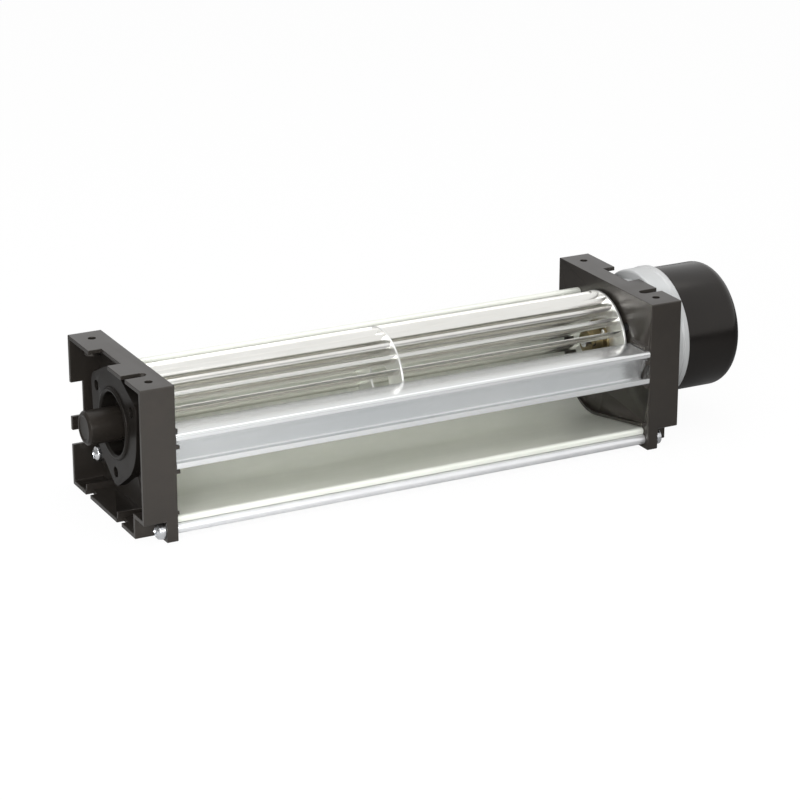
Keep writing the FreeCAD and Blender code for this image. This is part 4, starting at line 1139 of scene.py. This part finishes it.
    def build(self) -> None:
        """Builds everything that turns."""
        piece = Piece("blade_ring", BLADE_SHEET, ("rotor_blades",), Body.ROTOR, sheet=self.blade_sheet,
                      sheet_offset=0.0, edge=0.1, smooth_angle=SHEET_SMOOTH_ANGLE)
        piece.dress(self.blade_ring())
        reach = self.disc + self.in_hub
        stub = (LAYOUT.bearing_face + self.stub_start, self.face(Side.BEARING) + reach)
        shaft = (self.face(Side.MOTOR) - reach, LAYOUT.motor_face + self.shaft_end)
        for node, ending, finish, mesh in (
                ("bearing_end_disc", "pressing", DISC_SHEET, self.end_disc(Side.BEARING)),
                ("motor_end_disc", "pressing", DISC_SHEET, self.end_disc(Side.MOTOR)),
                ("middle_disc", "pressing", DISC_SHEET, self.ring_disc()),
                ("bearing_end_hub", "turning", HUB_BRASS_PAINTED_SHADE, self.hub(Side.BEARING)),
                ("motor_end_hub", "turning", HUB_BRASS_PAINTED_SHADE, self.hub(Side.MOTOR)),
                ("hub_rivets", "domed", DISC_SHEET, self.rivet_heads()),
                ("stub_shaft", "ground", SHAFT_STEEL, round_bar(*stub, self.shaft_radius)),
                ("motor_shaft", "ground", SHAFT_STEEL, round_bar(*shaft, self.shaft_radius))):
            stand_in(node, ending, finish, mesh, body=Body.ROTOR)


@dataclass
class BearingEnd:
    """Bearing plate, its sunk screws and the closed cap over the bearing."""

    plate_edge: float = 0.3
    cap_radius: float = 9.7
    cap_wall: float = 0.8
    cap_end_wall: float = 1.6
    cap_chamfer: float = 1.3
    cap_sunk: float = 0.5
    cap_dish: Pair = (3.2, 2.6)
    cap_mouth: float = 13.5
    screw_face: float = 8.7
    screw: PanScrew = PanScrew(2.7, 1.7, 1.45, 5.0, 1.5, 0.38, 1.1)

    def cap(self) -> BMesh:
        """Draws the cap with a chamfered, slightly sunk end.

        Returns:
            The closed cap.
        """
        end, mouth = (LAYOUT.depth(Side.BEARING, depth) for depth in (-LAYOUT.cap_overhang, self.cap_mouth))
        outer, inner = self.cap_radius, self.cap_radius - self.cap_wall
        sunk, floor, chamfer = end + self.cap_sunk, end + self.cap_end_wall, self.cap_chamfer
        dish, ring = (outer - inset for inset in self.cap_dish)
        return lathed(Facets.HUB, (sunk, 0.0), (sunk, dish, 0.3), (end, ring, 0.3),
                      (end, outer - chamfer, 0.25), (end + chamfer, outer, 0.3), (mouth, outer, 0.15),
                      (mouth, inner), (floor, inner), (floor, 0.0))

    def build(self) -> None:
        """Builds the plate, screws and cap."""
        stand_in("bearing_plate", "moulding", PLATE_PLASTIC, copied("bearing_plate"), edge=self.plate_edge)
        places = [LAYOUT.around_axis(angle, LAYOUT.post_circle) for angle in LAYOUT.post_angles]
        screws = [self.screw.build(Side.BEARING, self.screw_face, centre) for centre in places]
        stand_in("bearing_plate_screws", "crosshead", DARK_STEEL, joined(screws), edge=0.05)
        stand_in("bearing_cap", "moulding", CAP_PLASTIC, self.cap())


@dataclass
class MotorEnd:
    """Drawn motor housing and moulded cap; distances run out from the bracket's outer face."""

    sheet: float = 1.2
    radius: float = 39.2
    gap: float = 0.3
    length: float = 16.0
    pan_radius: float = 33.4
    seat: float = -10.5
    rim_radius: float = 39.8
    rim_width: float = 4.2
    rim_slope: float = 0.6
    rim_chamfer: Pair = (0.5, 0.7)
    bend: float = 1.6
    hub_inner: float = 6.12
    hub_wall: float = 1.8
    hub_reach: float = 8.0
    cap_radius: float = 37.8
    cap_wall: float = 2.2
    cap_round: float = 8.0
    cap_rings: Pair = (22.0, 10.0)
    cap_overlap: float = 7.0
    pad: float = 0.8

    def housing(self) -> BMesh:
        """Draws the housing from its bearing hub over its pan and shoulder to its rim.

        Returns:
            The closed shell.
        """
        seat, shoulder = LAYOUT.motor_face + self.seat, LAYOUT.motor_face + self.gap
        hub_end, rim = seat - self.hub_reach + self.sheet, LAYOUT.motor_face + self.length
        hub_outer, rim_start = self.hub_inner + self.hub_wall, rim - self.rim_width
        pan_inner, inner = self.pan_radius - self.sheet, self.radius - self.sheet
        chamfer, inset = self.rim_chamfer
        return lathed(Facets.MOTOR, (hub_end, self.hub_inner), (hub_end, hub_outer, 0.4),
                      (seat, hub_outer, 0.4), (seat, self.pan_radius, 1.6), (shoulder, self.pan_radius, 0.5),
                      (shoulder, self.radius, self.bend), (rim_start, self.radius, 0.4),
                      (rim_start + self.rim_slope, self.rim_radius, 0.35),
                      (rim - chamfer, self.rim_radius, 0.35), (rim, self.rim_radius - inset, 0.3),
                      (rim, inner, 0.3), (shoulder + self.sheet, inner, self.bend - self.sheet),
                      (shoulder + self.sheet, pan_inner, 0.4), (seat + self.sheet, pan_inner, 0.8),
                      (seat + self.sheet, self.hub_inner))

    def cap(self) -> BMesh:
        """Draws the cap's skirt, rounded end and bearing seat.

        Returns:
            The closed cap.
        """
        start = LAYOUT.motor_face + self.length - self.cap_overlap
        end = LAYOUT.motor_face + LAYOUT.motor_overhang
        floor, corner = end - self.cap_wall, self.cap_round
        outer, inner = self.cap_radius, self.cap_radius - self.cap_wall
        seat_outer, seat_start = self.hub_inner + self.hub_wall, floor - self.hub_reach - self.pad
        centre = (end - corner, outer - corner)
        line = Profile(Plane.LENGTHWISE, (0.0, *LAYOUT.axis), (start, inner))
        line.trace((start, outer, 0.3), (end - corner, outer)).swing(centre, -90.0, 14)
        line.trace(*((end, ring) for ring in self.cap_rings), (end, 0.0), (floor, 0.0),
                   (floor, self.hub_inner), (seat_start, self.hub_inner), (seat_start, seat_outer, 0.3),
                   (floor, seat_outer), (floor, outer - corner))
        return line.swing(centre, 90.0, 10).close().turned(Facets.MOTOR)

    def build(self) -> None:
        """Builds the housing and the cap."""
        stand_in("motor_housing", "shell", MOTOR_STEEL, self.housing())
        stand_in("motor_cap", "moulding", MOTOR_CAP_PLASTIC, self.cap())


@dataclass
class KeptSolids:
    """Solids whose shape is already right and that only get a finish."""

    finishes: dict[str, Finish] = field(default_factory=lambda: {
        "sleeve_bearing": BRONZE,
        "front_motor_bearing": BRONZE,
        "rear_motor_bearing": BRONZE,
        "bearing_isolator": RUBBER,
        "motor_screws": SCREW_STEEL,
        "motor_nuts": SCREW_STEEL,
        "stator_core": LAMINATION,
        "stator_windings": COPPER,
        "motor_rotor": LAMINATION,
        "shaft_spacers": SPACER_PLASTIC,
        "thrust_pad": SPACER_PLASTIC,
        "hub_set_screw": DARK_STEEL,
    })

    def build(self) -> None:
        """Gives each kept solid its finish."""
        for node, finish in self.finishes.items():
            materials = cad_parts[node].data.materials
            materials.clear()
            materials.append(finish.material())
            LOG.info("%s keeps its solid", node)


@dataclass
class Studio:
    """Floor, lights, world and camera."""

    camera_place: Place = (-716.82, -1366.45, 597.51)
    yaw: float = 27.405
    pitch: float = 19.993
    roll: float = 0.023
    lens: float = 127.1
    sensor: float = 36.0
    clip: Pair = (0.05, 60.0)
    floor_size: float = 12.0
    # Painted pool of light on the floor: its centre, the distances over which it fades, and the floor's tone
    # and mirrored white across that fade.
    painted_pool_centre: Place = (-350.0, -350.0, 0.0)
    painted_pool_reach: Pair = (0.1, 0.75)
    painted_pool_tones: Pair = (0.95, 0.15)
    painted_pool_gloss: Pair = (0.3, 0.0)
    glow_share: float = 0.94
    fill: float = 0.75
    mirror: float = 0.92
    left_level: float = 0.25
    left_reach: Pair = (-0.9, 0.1)

    def camera(self) -> None:
        """Sets the camera at the picture's viewing angle."""
        yaw, pitch, roll = (math.radians(value) for value in (self.yaw, self.pitch, self.roll))
        ahead = Vector((math.sin(yaw) * math.cos(pitch), math.cos(yaw) * math.cos(pitch), -math.sin(pitch)))
        right = Vector((math.cos(yaw), -math.sin(yaw), 0.0))
        up = right.cross(ahead)
        rolled_right = right * math.cos(roll) + up * math.sin(roll)
        rolled_up = up * math.cos(roll) - right * math.sin(roll)
        turn = Matrix((rolled_right, rolled_up, -ahead)).transposed().to_4x4()
        data = bpy.data.cameras.new("studio_camera")
        data.lens = self.lens
        data.sensor_width = self.sensor
        data.clip_start, data.clip_end = self.clip
        item = linked("studio_camera", data)
        item.matrix_world = Matrix.Translation(Vector(self.camera_place) * MM) @ turn
        bpy.context.scene.camera = item

    def floor(self) -> None:
        """Lays the floor, white where it is seen, that keeps the fan's soft shadow; in bounced light and
        reflections it carries a painted pool of light, bright near one point and darker away from it.
        """
        mesh = bmesh.new()
        bmesh.ops.create_grid(mesh, x_segments=1, y_segments=1, size=self.floor_size / 2)
        item = linked("studio_floor", stored("studio_floor", mesh))
        bench = NodeBench("studio_floor")
        rays = bench.add("LightPath").outputs
        seen = bench.calculate("MAXIMUM", rays["Is Camera Ray"], rays["Is Transmission Ray"])
        # Painted pool of light: the floor's colour in bounced light and its mirrored white fall off with
        # distance from the pool's centre, so parts far from it see a darker floor.
        reach = bench.length(bench.spread((1.0,) * 3, self.painted_pool_centre))
        painted_pool_colour = bench.remap(reach, *self.painted_pool_tones, self.painted_pool_reach)
        gloss = bench.remap(reach, *self.painted_pool_gloss, self.painted_pool_reach)
        share = bench.calculate("MAXIMUM", seen, bench.calculate("MULTIPLY", rays["Is Glossy Ray"], gloss))
        matt = bench.add("BsdfDiffuse", {"Color": painted_pool_colour})
        pale = bench.add("BsdfDiffuse", {"Color": WHITE})
        glow = bench.add("Emission", {"Color": WHITE, "Strength": 1.0})
        white = bench.add("MixShader", {0: self.glow_share, 1: pale.outputs[0], 2: glow.outputs[0]})
        mixed = bench.add("MixShader", {0: share, 1: matt.outputs[0], 2: white.outputs[0]})
        bench.add("OutputMaterial", {"Surface": mixed.outputs[0]})
        item.data.materials.append(bench.material)

    def world(self) -> None:
        """Sets a pale surround, white where it is seen or mirrored and dimmer towards the left."""
        world = bpy.data.worlds.new("studio_world")
        bpy.context.scene.world = world
        world.use_nodes = True
        bench = NodeBench("studio_world", world.node_tree)
        rays = bench.add("LightPath").outputs
        seen = bench.calculate("MAXIMUM", rays["Is Camera Ray"], rays["Is Transmission Ray"])
        way = bench.add("SeparateXYZ", {0: bench.add("TexCoord").outputs["Generated"]}).outputs[0]
        dimming = bench.remap(way, self.left_level, 1.0, self.left_reach)
        level = bench.remap(rays["Is Glossy Ray"], self.fill, self.mirror, FULL_RANGE)
        strength = bench.calculate("MAXIMUM", bench.calculate("MULTIPLY", dimming, level), seen)
        back = bench.add("Background", {"Color": WHITE, "Strength": strength})
        bench.add("OutputWorld", {"Surface": back.outputs[0]})

    def lamp(self, name: str, place: Place, aim: Place, size: Pair, power: float) -> None:
        """Hangs one soft lamp.

        Args:
            name: The lamp's name.
            place: Its place in metres.
            aim: Point that it faces.
            size: Its width and height in metres.
            power: Its power in watts.
        """
        data = bpy.data.lights.new(name, "AREA")
        data.shape = "RECTANGLE"
        data.size, data.size_y = size
        data.energy = power
        away = (Vector(place) - Vector(aim)).to_track_quat("Z", "Y").to_matrix().to_4x4()
        linked(name, data).matrix_world = Matrix.Translation(Vector(place)) @ away

    def build(self) -> None:
        """Builds the whole studio."""
        bpy.context.scene.view_settings.view_transform = "Standard"
        self.camera()
        self.floor()
        self.world()
        self.lamp("overhead_softbox", (-0.1, 0.15, 1.2), (0.0, 0.0, 0.05), (1.6, 1.2), 5.5)
        self.lamp("front_softbox", (-0.75, -1.05, 0.5), (-0.1, 0.0, 0.03), (0.9, 0.5), 11.0)
        self.lamp("outlet_card", (-0.3, -0.75, 0.32), (-0.05, 0.0, 0.02), (0.8, 0.2), 2.0)
        self.lamp("left_highlight", (-1.1, -0.35, 0.75), (-0.2, 0.0, 0.06), (0.25, 0.25), 1.8)


def main() -> None:
    """Builds the fan and the studio."""
    logging.basicConfig(level=logging.INFO, format="%(message)s")
    for part in (Studio(), Brackets(), AirGuides(), DrumRotor(), BearingEnd(), MotorEnd(), KeptSolids()):
        LOG.info("building %s", type(part).__name__)
        part.build()


if __name__ == "__main__":
    main()
